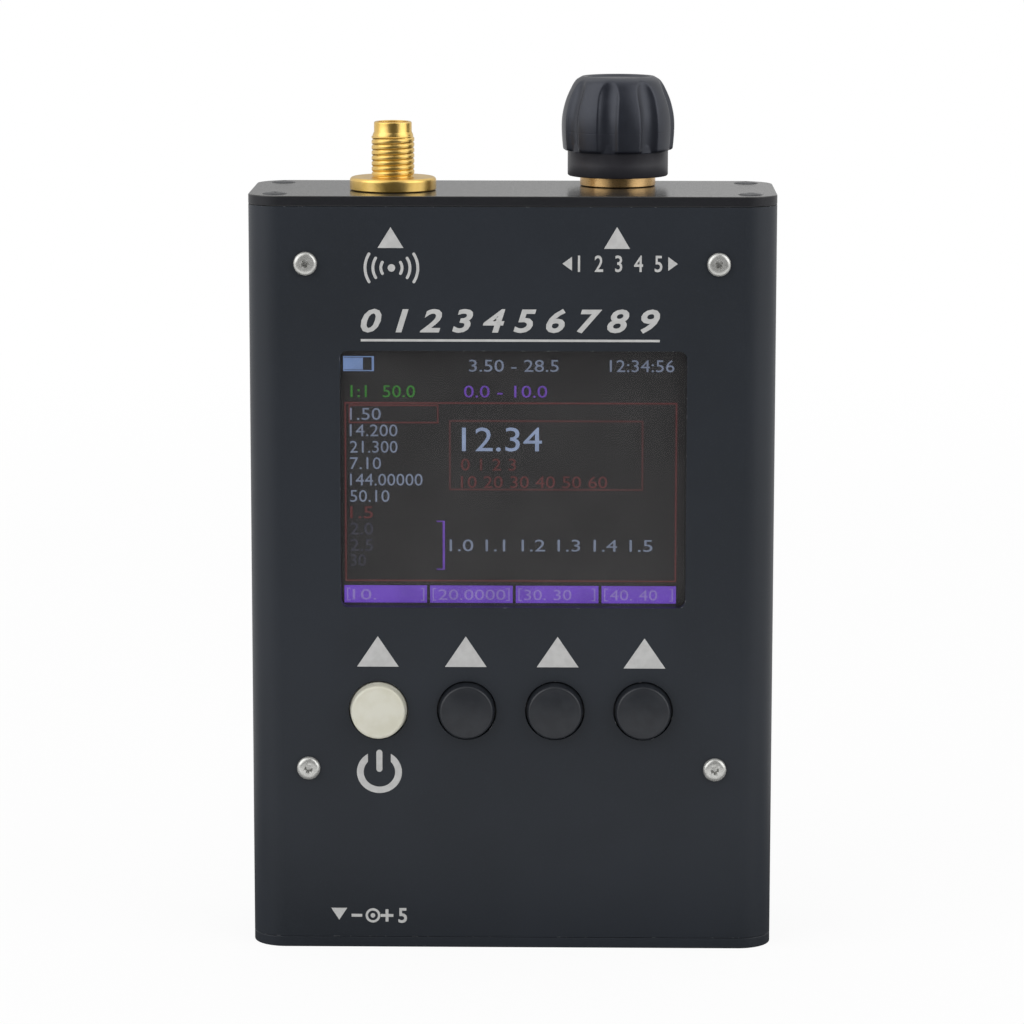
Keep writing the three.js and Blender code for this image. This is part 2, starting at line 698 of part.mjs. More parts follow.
// RF jack: body, insulator, contact, inner washer and nut, and the coaxial pigtail
function makeRfJack() {
  const threadFrom = rfFlangeThick + rfNeckLength;
  const threadTo = threadFrom + rfThreadTurns * rfPitch;
  const noseTop = threadTo + rfNoseLength;
  const tailEnd = -topPlateThick - rfTailLength;
  const profile = [
    [rfTailRadius, tailEnd],
    [rfTailRadius, film],
    [rfFlangeRadius - rfFlangeEdge, film],
    [rfFlangeRadius, rfFlangeEdge],
    [rfFlangeRadius, rfFlangeThick - rfFlangeEdge],
    [rfFlangeRadius - rfFlangeEdge, rfFlangeThick],
    [rfRootRadius, rfFlangeThick],
  ];
  for (let turn = 0; turn < rfThreadTurns; turn += 1) {
    const root = threadFrom + turn * rfPitch;
    profile.push([rfRootRadius, root], [rfThreadRadius, root + rfPitch / 2]);
  }
  profile.push(
    [rfNoseRadius, threadTo],
    [rfNoseRadius, noseTop - rfNoseEdge],
    [rfNoseRadius - rfNoseEdge, noseTop],
    [rfBoreRadius, noseTop],
    [rfBoreRadius, tailEnd],
    [rfTailRadius, tailEnd],
  );
  piece('rf_jack_body', turned(profile, roundSides), gold, rfGroup);

  const insulatorTop = noseTop - rfInsulatorSink;
  const insulatorHole = rfContactRadius + snug;
  const insulator = ring(rfBoreRadius - snug, insulatorHole, tailEnd, insulatorTop, smallSides);
  piece('rf_jack_insulator', insulator, whitePlastic, rfGroup);
  const contact = turned([
    [0, tailEnd - rfContactTail],
    [rfContactRadius, tailEnd - rfContactTail],
    [rfContactRadius, insulatorTop],
    [rfContactBore, insulatorTop],
    [rfContactBore, insulatorTop - rfContactDepth],
    [0, insulatorTop - rfContactDepth],
  ], smallSides);
  piece('rf_jack_contact', contact, gold, rfGroup);

  const washerTop = -topPlateThick - film;
  const holeRadius = rfTailRadius + snug;
  const washer = ring(rfWasherRadius, holeRadius, washerTop - washerThick, washerTop, smallSides);
  piece('rf_jack_washer', washer, brightSteel, rfGroup);
  const nutTop = washerTop - washerThick - film;
  const nutBlank = rod(rfNutFlats / Math.sqrt(3), nutTop - rfNutThick, nutTop, rfNutSides);
  const nutHole = rod(holeRadius, nutTop - rfNutThick - cutOver, nutTop + cutOver, roundSides);
  piece('rf_jack_nut', carve(nutBlank, { cuts: [nutHole] }), gold, rfGroup);

  const coaxStart = [...rfAxis, caseHeight + tailEnd - rfContactTail - snug];
  const canTop = notchBottom - canFromNotch;
  const coaxEnd = [canMiddle, boardBack + film + canDepth / 2 - caseDepth / 2, canTop + snug];
  const section = new THREE.Shape();
  section.absarc(0, 0, coaxRadius, 0, 2 * Math.PI);
  const coax = wire(section, coaxStart, [0, 0, -1], coaxEnd, [0, 0, 1], coaxBowLength, wireSides / 2);
  piece('coax_pigtail', coax, brownCoax);
}

// Encoder below the top plate: bushing, case, rotor, shaft, washer, nut and wire ribbon
function makeEncoder() {
  const washerTop = -film;
  const encoderPlateTop = washerTop - washerThick - film;
  const encoderPlateBottom = encoderPlateTop - encoderPlateThick;
  const boreRadius = shaftRadius + snug;
  const threadHole = bushingRadius + snug;
  const washer = ring(encoderWasherRadius, threadHole, washerTop - washerThick, washerTop);
  piece('encoder_washer', washer, brightSteel, encoderGroup);

  const bushingTop = topPlateThick + bushingRise;
  const bushing = carve(block(encoderWidth, encoderWidth, encoderPlateBottom, encoderPlateTop), {
    joins: [rod(bushingRadius, encoderPlateBottom, bushingTop, roundSides)],
    cuts: [rod(boreRadius, encoderPlateBottom - cutOver, bushingTop + cutOver, roundSides)],
  });
  piece('encoder_bushing', bushing, brightSteel, encoderGroup);

  const caseTop = encoderPlateBottom - film;
  const caseBottom = caseTop - encoderCaseHeight;
  const floorTop = caseBottom + encoderFloor;
  const cavity = rod(encoderCavityRadius, floorTop, caseTop + cutOver, roundSides);
  const encoderCase = carve(block(encoderWidth, encoderWidth, caseBottom, caseTop), { cuts: [cavity] });
  piece('encoder_case', encoderCase, blackPlastic, encoderGroup);

  const rotorBottom = floorTop + gap;
  const rotor = rod(encoderCavityRadius - gap, rotorBottom, rotorBottom + rotorThick, roundSides);
  const tipHole = flattedCircle(shaftTipRadius + snug, shaftTipFlat);
  const hole = pulled(tipHole, rotorBottom - cutOver, rotorBottom + rotorThick + cutOver, wireSides);
  piece('encoder_rotor', carve(rotor, { cuts: [hole] }), whitePlastic, encoderGroup);

  const collarTop = encoderPlateBottom - gap;
  const collarBottom = collarTop - shaftCollarThick;
  const shaftTop = topPlateThick + knobLift + knobHeight - shaftTopWall;
  const upper = rod(shaftRadius, collarTop - shaftCollarThick / 2, shaftTop, roundSides);
  const tipFrom = floorTop + pushTravel + snug;
  const tipTo = collarBottom + shaftCollarThick / 2;
  const tip = pulled(flattedCircle(shaftTipRadius, shaftTipFlat), tipFrom, tipTo, wireSides);
  const flat = block(shaftRadius, 2 * shaftRadius + cutOver, shaftTop - shaftFlatLength, shaftTop + cutOver);
  const shaft = carve(rod(shaftCollarRadius, collarBottom, collarTop, roundSides), {
    joins: [upper, tip],
    cuts: [flat.translate(1.5 * shaftRadius - shaftFlatDepth, 0, 0)],
  });
  piece('encoder_shaft', shaft, brightSteel, encoderGroup);

  const nutFrom = topPlateThick + film;
  const nutTo = nutFrom + nutThick;
  const nutProfile = [
    [nutRadius - nutEdge, nutFrom],
    [nutRadius, nutFrom + nutEdge],
    [nutRadius, nutTo - nutEdge],
    [nutRadius - nutEdge, nutTo],
    [threadHole, nutTo],
    [threadHole, nutFrom],
    [nutRadius - nutEdge, nutFrom],
  ];
  const slot = block(2 * nutRadius + cutOver, nutSlotWidth, nutTo - nutSlotDepth, nutTo + cutOver);
  piece('encoder_nut', carve(turned(nutProfile), { cuts: [slot] }), gold, encoderGroup);

  const harnessY = encoderAxis[1] - encoderWidth / 4;
  const boardY = boardBack + film + harnessThick - caseDepth / 2;
  const harnessTop = plateTop + caseBottom - snug;
  const harnessLine = [
    [harnessY, harnessTop],
    [harnessY, harnessTop - harnessStraight],
    [boardY, notchBottom - harnessDrop / 2],
    [boardY, notchBottom - harnessDrop],
  ];
  const harness = ribbonAlong(harnessLine, harnessThick, harnessWidth);
  piece('encoder_ribbon', harness, amberFilm, object, [encoderAxis[0], 0, 0]);
}

// The knob's outline above its skirt, as shares of its radius and of the height from skirt to top.
const knobShares = [
  [0.964, 0], [0.98, 0.12], [0.998, 0.28], [1, 0.36], [0.985, 0.5], [0.945, 0.64], [0.9, 0.74], [0.845, 0.83],
  [0.78, 0.91], [0.705, 0.97], [0.63, 1],
];

// The cutter for one flute: a round bar that follows the outline and runs out below the top rim.
function fluteCutter() {
  const points = knobShares.slice(0, -2).map(([radiusShare, heightShare], i, all) => {
    const fade = i < all.length - 2 ? fluteDepth : (fluteDepth * (all.length - 1 - i)) / 2;
    const radius = radiusShare * knobRadius - fade + fluteRadius;
    return new THREE.Vector3(0, -radius, knobSkirtHeight + heightShare * knobRise);
  });
  const [first, last] = [points[0], points[points.length - 1]];
  points[0] = first.clone().setZ(first.z - cutOver);
  const lean = new THREE.Vector3(0, fluteEndShare * fluteRadius, fluteRiseShare * knobRise);
  points.push(last.clone().add(lean));
  const section = new THREE.Shape();
  section.absarc(0, 0, fluteRadius, 0, 2 * Math.PI);
  const path = new THREE.CatmullRomCurve3(points);
  const options = { extrudePath: path, steps: fluteSteps, curveSegments: fluteSides, bevelEnabled: false };
  return new THREE.ExtrudeGeometry(section, options);
}

// Knob and its spring clip, turning with the encoder's shaft
function makeKnob() {
  const base = topPlateThick + knobLift;
  const profile = [[0, 0], [knobSkirtRadius, 0], [knobSkirtRadius, knobSkirtHeight]];
  for (const [radiusShare, heightShare] of knobShares) {
    profile.push([radiusShare * knobRadius, knobSkirtHeight + heightShare * knobRise]);
  }
  profile.push([knobDishRadius, knobHeight], [knobDishRadius - knobDish, knobHeight - knobDish]);
  profile.push([0, knobHeight - knobDish]);
  const cuts = [rod(knobCavityRadius, -cutOver, knobCavityDepth, roundSides)];
  const clipRoom = clipThick + 2 * snug;
  const shaftHole = flattedCircle(shaftRadius + snug, shaftFlatDepth + snug - clipRoom);
  const shaftTop = knobHeight - shaftTopWall + snug;
  const flatStart = shaftTop - snug - shaftFlatLength - gap;
  cuts.push(pulled(shaftHole, flatStart, shaftTop, wireSides));
  cuts.push(rod(shaftRadius + snug, knobCavityDepth - cutOver, shaftTop - shaftFlatLength, roundSides));
  for (let i = 0; i < flutes; i += 1) {
    cuts.push(fluteCutter().rotateZ(((i - fluteTurnShare) * 2 * Math.PI) / flutes));
  }
  piece('knob', carve(turned(profile, knobSides), { cuts }), blackPlastic, encoderGroup, [0, 0, base]);

  const flatX = shaftRadius - shaftFlatDepth + snug + clipThick / 2;
  const clip = new THREE.BoxGeometry(clipThick, clipWidth, clipLength);
  const clipMiddle = knobHeight - shaftTopWall - snug - clipLength / 2;
  piece('knob_spring_clip', clip, brightSteel, encoderGroup, [flatX, 0, base + clipMiddle]);
}

makeShells();
makePlates();
makePlateScrews();
makeFrontScrews();
makeKeys();
makeDisplay();
makeBoard();
makeBattery();
makeChargingJack();
makeRfJack();
makeEncoder();
makeKnob();

export default object;
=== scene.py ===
import math

import bmesh
import bpy
from mathutils import Matrix, Vector


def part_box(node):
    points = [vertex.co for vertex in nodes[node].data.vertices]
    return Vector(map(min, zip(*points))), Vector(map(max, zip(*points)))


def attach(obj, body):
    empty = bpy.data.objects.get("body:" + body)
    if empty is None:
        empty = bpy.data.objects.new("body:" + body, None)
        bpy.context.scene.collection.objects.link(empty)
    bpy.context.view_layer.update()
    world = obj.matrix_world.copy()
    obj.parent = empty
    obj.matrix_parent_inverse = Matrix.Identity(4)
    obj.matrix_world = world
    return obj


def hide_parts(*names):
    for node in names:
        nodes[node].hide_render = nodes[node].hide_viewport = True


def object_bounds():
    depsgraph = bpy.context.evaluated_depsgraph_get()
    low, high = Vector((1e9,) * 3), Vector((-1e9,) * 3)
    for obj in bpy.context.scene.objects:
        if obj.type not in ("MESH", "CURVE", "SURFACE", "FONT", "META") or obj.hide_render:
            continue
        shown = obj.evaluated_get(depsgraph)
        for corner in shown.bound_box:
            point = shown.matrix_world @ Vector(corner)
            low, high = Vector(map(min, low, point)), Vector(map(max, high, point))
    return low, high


# Handheld antenna analyzer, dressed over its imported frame. Lengths in the settings are in millimetres.
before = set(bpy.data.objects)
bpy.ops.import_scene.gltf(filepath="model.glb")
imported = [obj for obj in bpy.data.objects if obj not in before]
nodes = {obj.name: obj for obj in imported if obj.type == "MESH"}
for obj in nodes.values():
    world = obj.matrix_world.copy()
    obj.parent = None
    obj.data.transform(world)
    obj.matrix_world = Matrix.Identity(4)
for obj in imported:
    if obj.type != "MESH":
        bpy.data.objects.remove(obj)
cadLow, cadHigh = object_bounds()
mm = 0.001
overrun = 2 * mm  # how far a cutter reaches past what it cuts
past = 1  # the same for a cutter's profile, in millimetres
onPlane = 0.1 * mm  # a point this near to a plane counts as on it
rounding = 0.001  # slack for sums that rounding leaves a little off
alongAxis = 0.99  # least cosine of an edge that counts as running along an axis
sharpAngle = 35  # degrees, from which an edge counts as sharp
faceTurn = Matrix.Rotation(math.pi / 2, 4, "X")  # turns a piece built along +Z so that it looks out of the front
upsideDown = Matrix.Rotation(math.pi, 4, "X")


def take(settings, *names):
    return [settings[name] for name in names]


# Working in the viewport's way: let go of everything, pick one object, edit it

def letGo():
    active = bpy.context.view_layer.objects.active
    if active and active.mode == "EDIT":
        bpy.ops.object.mode_set(mode="OBJECT")
    bpy.ops.object.select_all(action="DESELECT")


def pick(obj):
    letGo()
    bpy.context.view_layer.objects.active = obj
    obj.select_set(True)


def edit(obj, kind="EDGE"):
    pick(obj)
    bpy.ops.object.mode_set(mode="EDIT")
    bpy.ops.mesh.select_mode(type=kind)
    bpy.ops.mesh.select_all(action="DESELECT")
    return bmesh.from_edit_mesh(obj.data)


def settle(obj):
    pick(obj)
    bpy.ops.object.transform_apply(location=True, rotation=True, scale=True)
    return obj


def applyModifier(obj, kind, **values):
    pick(obj)
    modifier = obj.modifiers.new(kind.lower(), kind)
    for name, value in values.items():
        setattr(modifier, name, value)
    bpy.ops.object.modifier_apply(modifier=modifier.name)
    return obj


def block(name, low, high):
    letGo()
    low, high = Vector(low), Vector(high)
    bpy.ops.mesh.primitive_cube_add(size=1, location=(low + high) / 2)
    obj = bpy.context.object
    obj.name = name
    obj.scale = high - low
    return settle(obj)


def rod(name, radius, low, high, sides=48):  # upright, between two points over each other
    letGo()
    low, high = Vector(low), Vector(high)
    middle = (low + high) / 2
    bpy.ops.mesh.primitive_cylinder_add(vertices=sides, radius=radius, depth=(high - low).z, location=middle)
    obj = bpy.context.object
    obj.name = name
    return settle(obj)


def middleOfEdge(edge):
    return (edge.verts[0].co + edge.verts[1].co) / 2


def bevelEdges(obj, width, segments, wanted, material=-1):  # wanted(edge) picks the edges
    mesh = edit(obj)
    for edge in mesh.edges:
        if wanted(edge):
            edge.select = True
    bmesh.update_edit_mesh(obj.data)
    bpy.ops.mesh.bevel(offset=width, segments=segments, affect="EDGES", material=material)
    letGo()
    return obj


def roundEdges(obj, radius, segments, wanted):  # wanted(middle, way) picks the edges to round
    def picked(edge):
        return wanted(middleOfEdge(edge), (edge.verts[1].co - edge.verts[0].co).normalized())

    return bevelEdges(obj, radius, segments, picked)


def roundUprights(obj, radius, segments):
    return roundEdges(obj, radius, segments, lambda middle, way: abs(way.z) > alongAxis)


def breakEdges(obj, width, wanted, segments=3, material=-1):  # rounds the sharp edges that wanted(middle) picks
    def picked(edge):
        sharp = len(edge.link_faces) == 2 and edge.calc_face_angle(0) > math.radians(sharpAngle)
        return sharp and wanted(middleOfEdge(edge))

    return bevelEdges(obj, width * mm, segments, picked, material)


def cut(obj, *cutters, way="DIFFERENCE"):
    for cutter in cutters:
        applyModifier(obj, "BOOLEAN", object=cutter, operation=way, solver="EXACT")
        bpy.data.objects.remove(cutter, do_unlink=True)
    return obj


def join(obj, *others):
    return cut(obj, *others, way="UNION")


def smooth(obj, angle=40):  # flat faces stay flat beside their rounded edges
    pick(obj)
    bpy.ops.object.shade_smooth_by_angle(angle=math.radians(angle))
    return applyModifier(obj, "WEIGHTED_NORMAL", keep_sharp=True)


def soften(obj, width, segments=3, angle=sharpAngle):
    applyModifier(
        obj, "BEVEL", width=width * mm, segments=segments, limit_method="ANGLE", angle_limit=math.radians(angle)
    )
    return smooth(obj)


def spun(name, profile, steps=72):  # [radius, height] points in millimetres, turned round the upright axis
    letGo()
    points = [Vector((radius * mm, 0, height * mm)) for radius, height in profile]
    bpy.ops.mesh.primitive_plane_add(size=mm, location=(0, 0, 0))
    obj = bpy.context.object
    obj.name = name
    bpy.ops.object.mode_set(mode="EDIT")
    bpy.ops.mesh.select_mode(type="VERT")
    bpy.ops.mesh.merge(type="CENTER")
    bpy.ops.transform.translate(value=points[0])
    for before, after in zip(points, points[1:]):
        bpy.ops.mesh.extrude_region_move(TRANSFORM_OT_translate={"value": after - before})
    bpy.ops.mesh.select_all(action="SELECT")
    bpy.ops.mesh.spin(steps=steps, angle=2 * math.pi, center=(0, 0, 0), axis=(0, 0, 1))
    bpy.ops.mesh.select_all(action="SELECT")
    bpy.ops.mesh.remove_doubles(threshold=rounding * mm)
    bpy.ops.mesh.normals_make_consistent(inside=False)
    letGo()
    return obj


def ringOf(profile):  # closes a profile that leaves the middle open
    return profile + [profile[0]]


def arc(centre, radius, start, stop, steps):  # points of a rounded corner in a profile, angles in degrees
    return [
        [
            centre[0] + radius * math.cos(math.radians(start + (stop - start) * i / steps)),
            centre[1] + radius * math.sin(math.radians(start + (stop - start) * i / steps)),
        ]
        for i in range(steps + 1)
    ]


def circle(centre, radius, points, start=0, stop=360):
    return arc(centre, radius, start, stop, points)[:-1]


def moved(obj, place, turn=None):  # puts a piece built at the origin in its place, in its mesh
    obj.data.transform(Matrix.Translation(place) @ (turn or Matrix.Identity(4)))
    return obj


def copyOf(master, name, place, turn=None):
    obj = master.copy()
    obj.data = master.data.copy()
    obj.name = name
    bpy.context.scene.collection.objects.link(obj)
    return moved(obj, place, turn)


def scrap(obj):
    bpy.data.objects.remove(obj, do_unlink=True)


def middleOf(node):
    low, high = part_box(node)
    return (low + high) / 2


def pickFaces(obj, wanted):  # stays in edit mode, with the faces that wanted(middle, normal) picks
    mesh = edit(obj, "FACE")
    for face in mesh.faces:
        if wanted(face.calc_center_median(), face.normal):
            face.select = True
    bmesh.update_edit_mesh(obj.data)


def coatFaces(obj, index, wanted):  # gives the faces that wanted picks another material of the piece
    pickFaces(obj, wanted)
    obj.active_material_index = index
    bpy.ops.object.material_slot_assign()
    letGo()
    return obj


def coat(obj, *materials):  # the first covers the piece, the others are for faces picked later
    for material in materials:
        obj.data.materials.append(material)
    return obj


def dress(obj, body, stands=()):  # body of a finished piece, and the solids that it stands for
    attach(obj, body)
    if stands:
        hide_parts(*stands)
    return obj


# Finishes. Each reads Object coordinates scaled to millimetres, so a scale of 2 gives marks of half a millimetre

def ramp(tree, value, fromLow, fromHigh, low, high):
    node = tree.nodes.new("ShaderNodeMapRange")
    node.interpolation_type = "SMOOTHSTEP"
    for name, number in (("From Min", fromLow), ("From Max", fromHigh), ("To Min", low), ("To Max", high)):
        node.inputs[name].default_value = number
    tree.links.new(value, node.inputs["Value"])
    return node.outputs["Result"]


def maths(tree, operation, first, second):
    node = tree.nodes.new("ShaderNodeMath")
    node.operation = operation
    tree.links.new(first, node.inputs[0])
    tree.links.new(second, node.inputs[1])
    return node.outputs[0]


def vectorMaths(tree, operation, first, second=None):  # second is a fixed vector
    node = tree.nodes.new("ShaderNodeVectorMath")
    node.operation = operation
    if second:
        node.inputs[1].default_value = second
    tree.links.new(first, node.inputs[0])
    return node.outputs["Value" if operation in ("DOT_PRODUCT", "LENGTH") else "Vector"]


def mixed(tree, share, first, second):  # first and second are numbers or outputs
    node = tree.nodes.new("ShaderNodeMix")
    tree.links.new(share, node.inputs[0])
    for socket, value in ((node.inputs[2], first), (node.inputs[3], second)):
        if isinstance(value, float):
            socket.default_value = value
        else:
            tree.links.new(value, socket)
    return node.outputs[0]


def partsOf(tree, vector):
    node = tree.nodes.new("ShaderNodeSeparateXYZ")
    tree.links.new(vector, node.inputs[0])
    return node.outputs


class Finish:
    def __init__(self, name):
        self.material = bpy.data.materials.new(name)
        self.material.use_nodes = True
        self.tree = self.material.node_tree
        self.shader = self.tree.nodes["Principled BSDF"]
        place = self.tree.nodes.new("ShaderNodeTexCoord")
        inMillimetres = self.tree.nodes.new("ShaderNodeMapping")
        inMillimetres.inputs["Scale"].default_value = (1 / mm, 1 / mm, 1 / mm)
        self.tree.links.new(place.outputs["Object"], inMillimetres.inputs["Vector"])
        self.place = inMillimetres.outputs["Vector"]

    def fixed(self, **values):
        for name, value in values.items():
            self.shader.inputs[name.replace("_", " ")].default_value = value
        return self

    def stretched(self, scale):
        stretch = self.tree.nodes.new("ShaderNodeMapping")
        stretch.inputs["Scale"].default_value = scale
        self.tree.links.new(self.place, stretch.inputs["Vector"])
        return stretch.outputs["Vector"]

    def noise(self, scale, detail=3, stretch=None):
        node = self.tree.nodes.new("ShaderNodeTexNoise")
        node.inputs["Scale"].default_value = scale
        node.inputs["Detail"].default_value = detail
        self.tree.links.new(self.stretched(stretch) if stretch else self.place, node.inputs["Vector"])
        return node.outputs["Fac"]

    def ramp(self, value, low, high, fromLow=0.35, fromHigh=0.65):
        return ramp(self.tree, value, fromLow, fromHigh, low, high)

    def blend(self, share, first, second):  # first and second are colours or colour outputs
        node = self.tree.nodes.new("ShaderNodeMix")
        node.data_type = "RGBA"
        self.tree.links.new(share, node.inputs[0])
        for socket, colour in ((node.inputs[6], first), (node.inputs[7], second)):
            if isinstance(colour, tuple):
                socket.default_value = (*colour, 1)
            else:
                self.tree.links.new(colour, socket)
        return node.outputs[2]

    def send(self, output, socket):
        self.tree.links.new(output, self.shader.inputs[socket])
        return self

    def bump(self, height, strength, depth):  # depth in millimetres
        node = self.tree.nodes.new("ShaderNodeBump")
        node.inputs["Strength"].default_value = strength
        node.inputs["Distance"].default_value = depth * mm
        self.tree.links.new(height, node.inputs["Height"])
        return self.send(node.outputs["Normal"], "Normal")


def plainFinish(name, dark, light, rough, patch, grain, dent, metal=0.0, stretch=None, **fixed):
    finish = Finish(name)  # patch and grain are noise scales, dent is a depth in millimetres
    finish.fixed(Metallic=metal, **fixed)
    finish.send(finish.blend(finish.ramp(finish.noise(patch, 4), 0, 1), dark, light), "Base Color")
    grainNoise = finish.noise(grain, 3, stretch)
    finish.send(finish.ramp(grainNoise, *rough), "Roughness")
    finish.bump(grainNoise, 0.5, dent)
    return finish.material


coatSettings = {
    "clouds": 0.05,  # noise scales
    "peel": 5,
    "chips": 1.6,
    "peelPaler": 1.3,  # how much paler the coat is where its orange peel rises
    "bareMetal": (0.32, 0.33, 0.34),
    "dent": 0.012,
}


def coatFinish(name, dark, light, rough, chips=0.0, **fixed):  # black coat: cloudy tone, orange peel, chipped edges
    settings = coatSettings
    finish = Finish(name).fixed(**fixed)
    clouds = finish.ramp(finish.noise(settings["clouds"], 5), 0, 1, 0.3, 0.7)
    grain = finish.noise(settings["peel"], 4)
    tone = finish.blend(clouds, dark, light)
    peelPaler = tuple(settings["peelPaler"] * part for part in light)
    tone = finish.blend(finish.ramp(grain, 0, 0.5, 0.52, 0.75), tone, peelPaler)
    if chips:
        chipped = finish.ramp(finish.noise(settings["chips"], 2), 0, chips, 0.62, 0.7)
        tone = finish.blend(chipped, tone, settings["bareMetal"])
    finish.send(tone, "Base Color")
    finish.send(finish.ramp(grain, *rough), "Roughness")
    finish.bump(grain, 0.35, settings["dent"])
    return finish.material


def boardFinish():  # green mask over a grid of tracks
    finish = Finish("circuitBoard")
    tracks = finish.tree.nodes.new("ShaderNodeTexBrick")
    tracks.inputs["Scale"].default_value = 0.45
    tracks.inputs["Mortar Size"].default_value = 0.03
    finish.tree.links.new(finish.place, tracks.inputs["Vector"])
    mask = finish.blend(finish.ramp(finish.noise(0.3, 4), 0, 1), (0.006, 0.075, 0.03), (0.012, 0.11, 0.045))
    finish.send(finish.blend(tracks.outputs["Fac"], mask, (0.03, 0.17, 0.07)), "Base Color")
    finish.send(finish.ramp(finish.noise(6), 0.28, 0.4), "Roughness")
    finish.bump(tracks.outputs["Fac"], 0.3, 0.03)
    return finish.material


def litFinish(name, colour):  # a lit area of the display
    finish = Finish(name)
    dimming = 0.84  # level of the darker patches
    dim = tuple(dimming * part for part in colour)
    cloud = finish.ramp(finish.noise(0.3, 3), 0, 1)
    finish.send(finish.blend(cloud, dim, colour), "Emission Color")
    finish.send(finish.ramp(finish.noise(4), 0.3, 0.4), "Roughness")
    finish.bump(finish.noise(6), 0.2, 0.002)
    finish.fixed(Base_Color=(0.016, 0.0155, 0.016, 1), Emission_Strength=1.0)
    return finish.material


caseCoat = coatFinish(
    "caseCoat", (0.015, 0.0185, 0.0245), (0.0175, 0.0215, 0.0288), (0.42, 0.5), Specular_IOR_Level=0.3
)
wornCoat = coatFinish(
    "wornCoat", (0.017, 0.02, 0.025), (0.02, 0.024, 0.03), (0.38, 0.46), chips=0.5, Specular_IOR_Level=0.3
)
# darker copy of the coat for the top plate's rim: painted shade on the plate's sides
plateRimShade = coatFinish("plateRimShade", (0.0095, 0.01, 0.0125), (0.0115, 0.012, 0.015), (0.42, 0.5), Specular_IOR_Level=0.3)
# coat of the top plate's top: its gloss is real, but its lighter and warmer tone than the case coat is a painted
# reflection
plateSheenCoat = coatFinish("plateSheenCoat", (0.02, 0.0195, 0.019), (0.0245, 0.024, 0.023), (0.2, 0.26))
goldPlate = plainFinish(
    "goldPlate", (0.7, 0.468, 0.132), (0.77, 0.525, 0.168), (0.28, 0.35), 0.6, 7, 0.0006,
    metal=1.0, stretch=(0.25, 0.25, 3)
)
nutGold = plainFinish(
    "nutGold", (0.6, 0.385, 0.165), (0.67, 0.44, 0.2), (0.27, 0.34), 0.6, 7, 0.0006,
    metal=1.0, stretch=(0.25, 0.25, 3)
)
screwBright = plainFinish("screwBright", (0.5, 0.5, 0.48), (0.6, 0.6, 0.58), (0.2, 0.3), 1.2, 9, 0.002, metal=0.6)
screwBlack = plainFinish(
    "screwBlack", (0.05, 0.052, 0.056), (0.085, 0.088, 0.094), (0.3, 0.42), 1.0, 8, 0.008, metal=0.8
)
turnedSteel = plainFinish(
    "turnedSteel", (0.5, 0.5, 0.49), (0.62, 0.62, 0.61), (0.22, 0.36), 0.8, 6, 0.006, metal=1.0, stretch=(0.3, 0.3, 3)
)
tinSheet = plainFinish("tinSheet", (0.48, 0.49, 0.5), (0.6, 0.61, 0.62), (0.25, 0.4), 0.5, 5, 0.01, metal=1.0)
spacerBrass = plainFinish(
    "spacerBrass", (0.5, 0.36, 0.13), (0.6, 0.46, 0.2), (0.28, 0.4), 0.8, 6, 0.006, metal=1.0, stretch=(3, 0.3, 3)
)
knobPlastic = plainFinish(
    "knobPlastic", (0.0108, 0.012, 0.0175), (0.0138, 0.0155, 0.022), (0.34, 0.42), 0.4, 8, 0.005,
    Specular_IOR_Level=0.52, Specular_Tint=(0.84, 0.88, 1, 1)
)
skirtPlastic = plainFinish(
    "skirtPlastic", (0.022, 0.0215, 0.0275), (0.026, 0.0255, 0.032), (0.45, 0.52), 0.4, 8, 0.005
)
keyPlastic = plainFinish(
    "keyPlastic", (0.0145, 0.0165, 0.021), (0.019, 0.0215, 0.0265), (0.32, 0.4), 0.5, 9, 0.004,
    Specular_IOR_Level=0.38
)
creamPlastic = plainFinish("creamPlastic", (0.59, 0.575, 0.475), (0.635, 0.625, 0.54), (0.28, 0.36), 0.35, 8, 0.003)
blackPlastic = plainFinish("blackPlastic", (0.014, 0.014, 0.016), (0.022, 0.022, 0.024), (0.4, 0.55), 0.5, 7, 0.008)
whitePlastic = plainFinish("whitePlastic", (0.66, 0.66, 0.62), (0.74, 0.74, 0.71), (0.4, 0.5), 0.4, 6, 0.006)
printInk = plainFinish("printInk", (0.44, 0.44, 0.435), (0.49, 0.49, 0.485), (0.5, 0.62), 0.8, 7, 0.003)
amberFilm = plainFinish("amberFilm", (0.3, 0.12, 0.02), (0.4, 0.18, 0.035), (0.25, 0.35), 0.3, 5, 0.006)
padFoam = plainFinish("padFoam", (0.6, 0.6, 0.6), (0.74, 0.74, 0.74), (0.85, 0.95), 0.6, 6, 0.12)
batterySkin = plainFinish("batterySkin", (0.36, 0.39, 0.43), (0.44, 0.47, 0.5), (0.28, 0.4), 0.2, 3, 0.03, metal=0.6)
redWire = plainFinish("redWire", (0.33, 0.014, 0.014), (0.42, 0.03, 0.025), (0.35, 0.45), 0.6, 6, 0.01)
brownCoax = plainFinish("brownCoax", (0.13, 0.06, 0.022), (0.17, 0.085, 0.035), (0.35, 0.45), 0.6, 6, 0.01)
windowClear = plainFinish(
    "windowClear", (0.06, 0.06, 0.06), (0.08, 0.08, 0.08), (0.1, 0.16), 0.15, 2, 0.001, Alpha=0.16
)
displayFace = litFinish("displayFace", (0.0075, 0.0068, 0.0072))
circuitBoard = boardFinish()
print("finishes ready")


# Case: two channels that meet at the sides, with screw channels in their corners

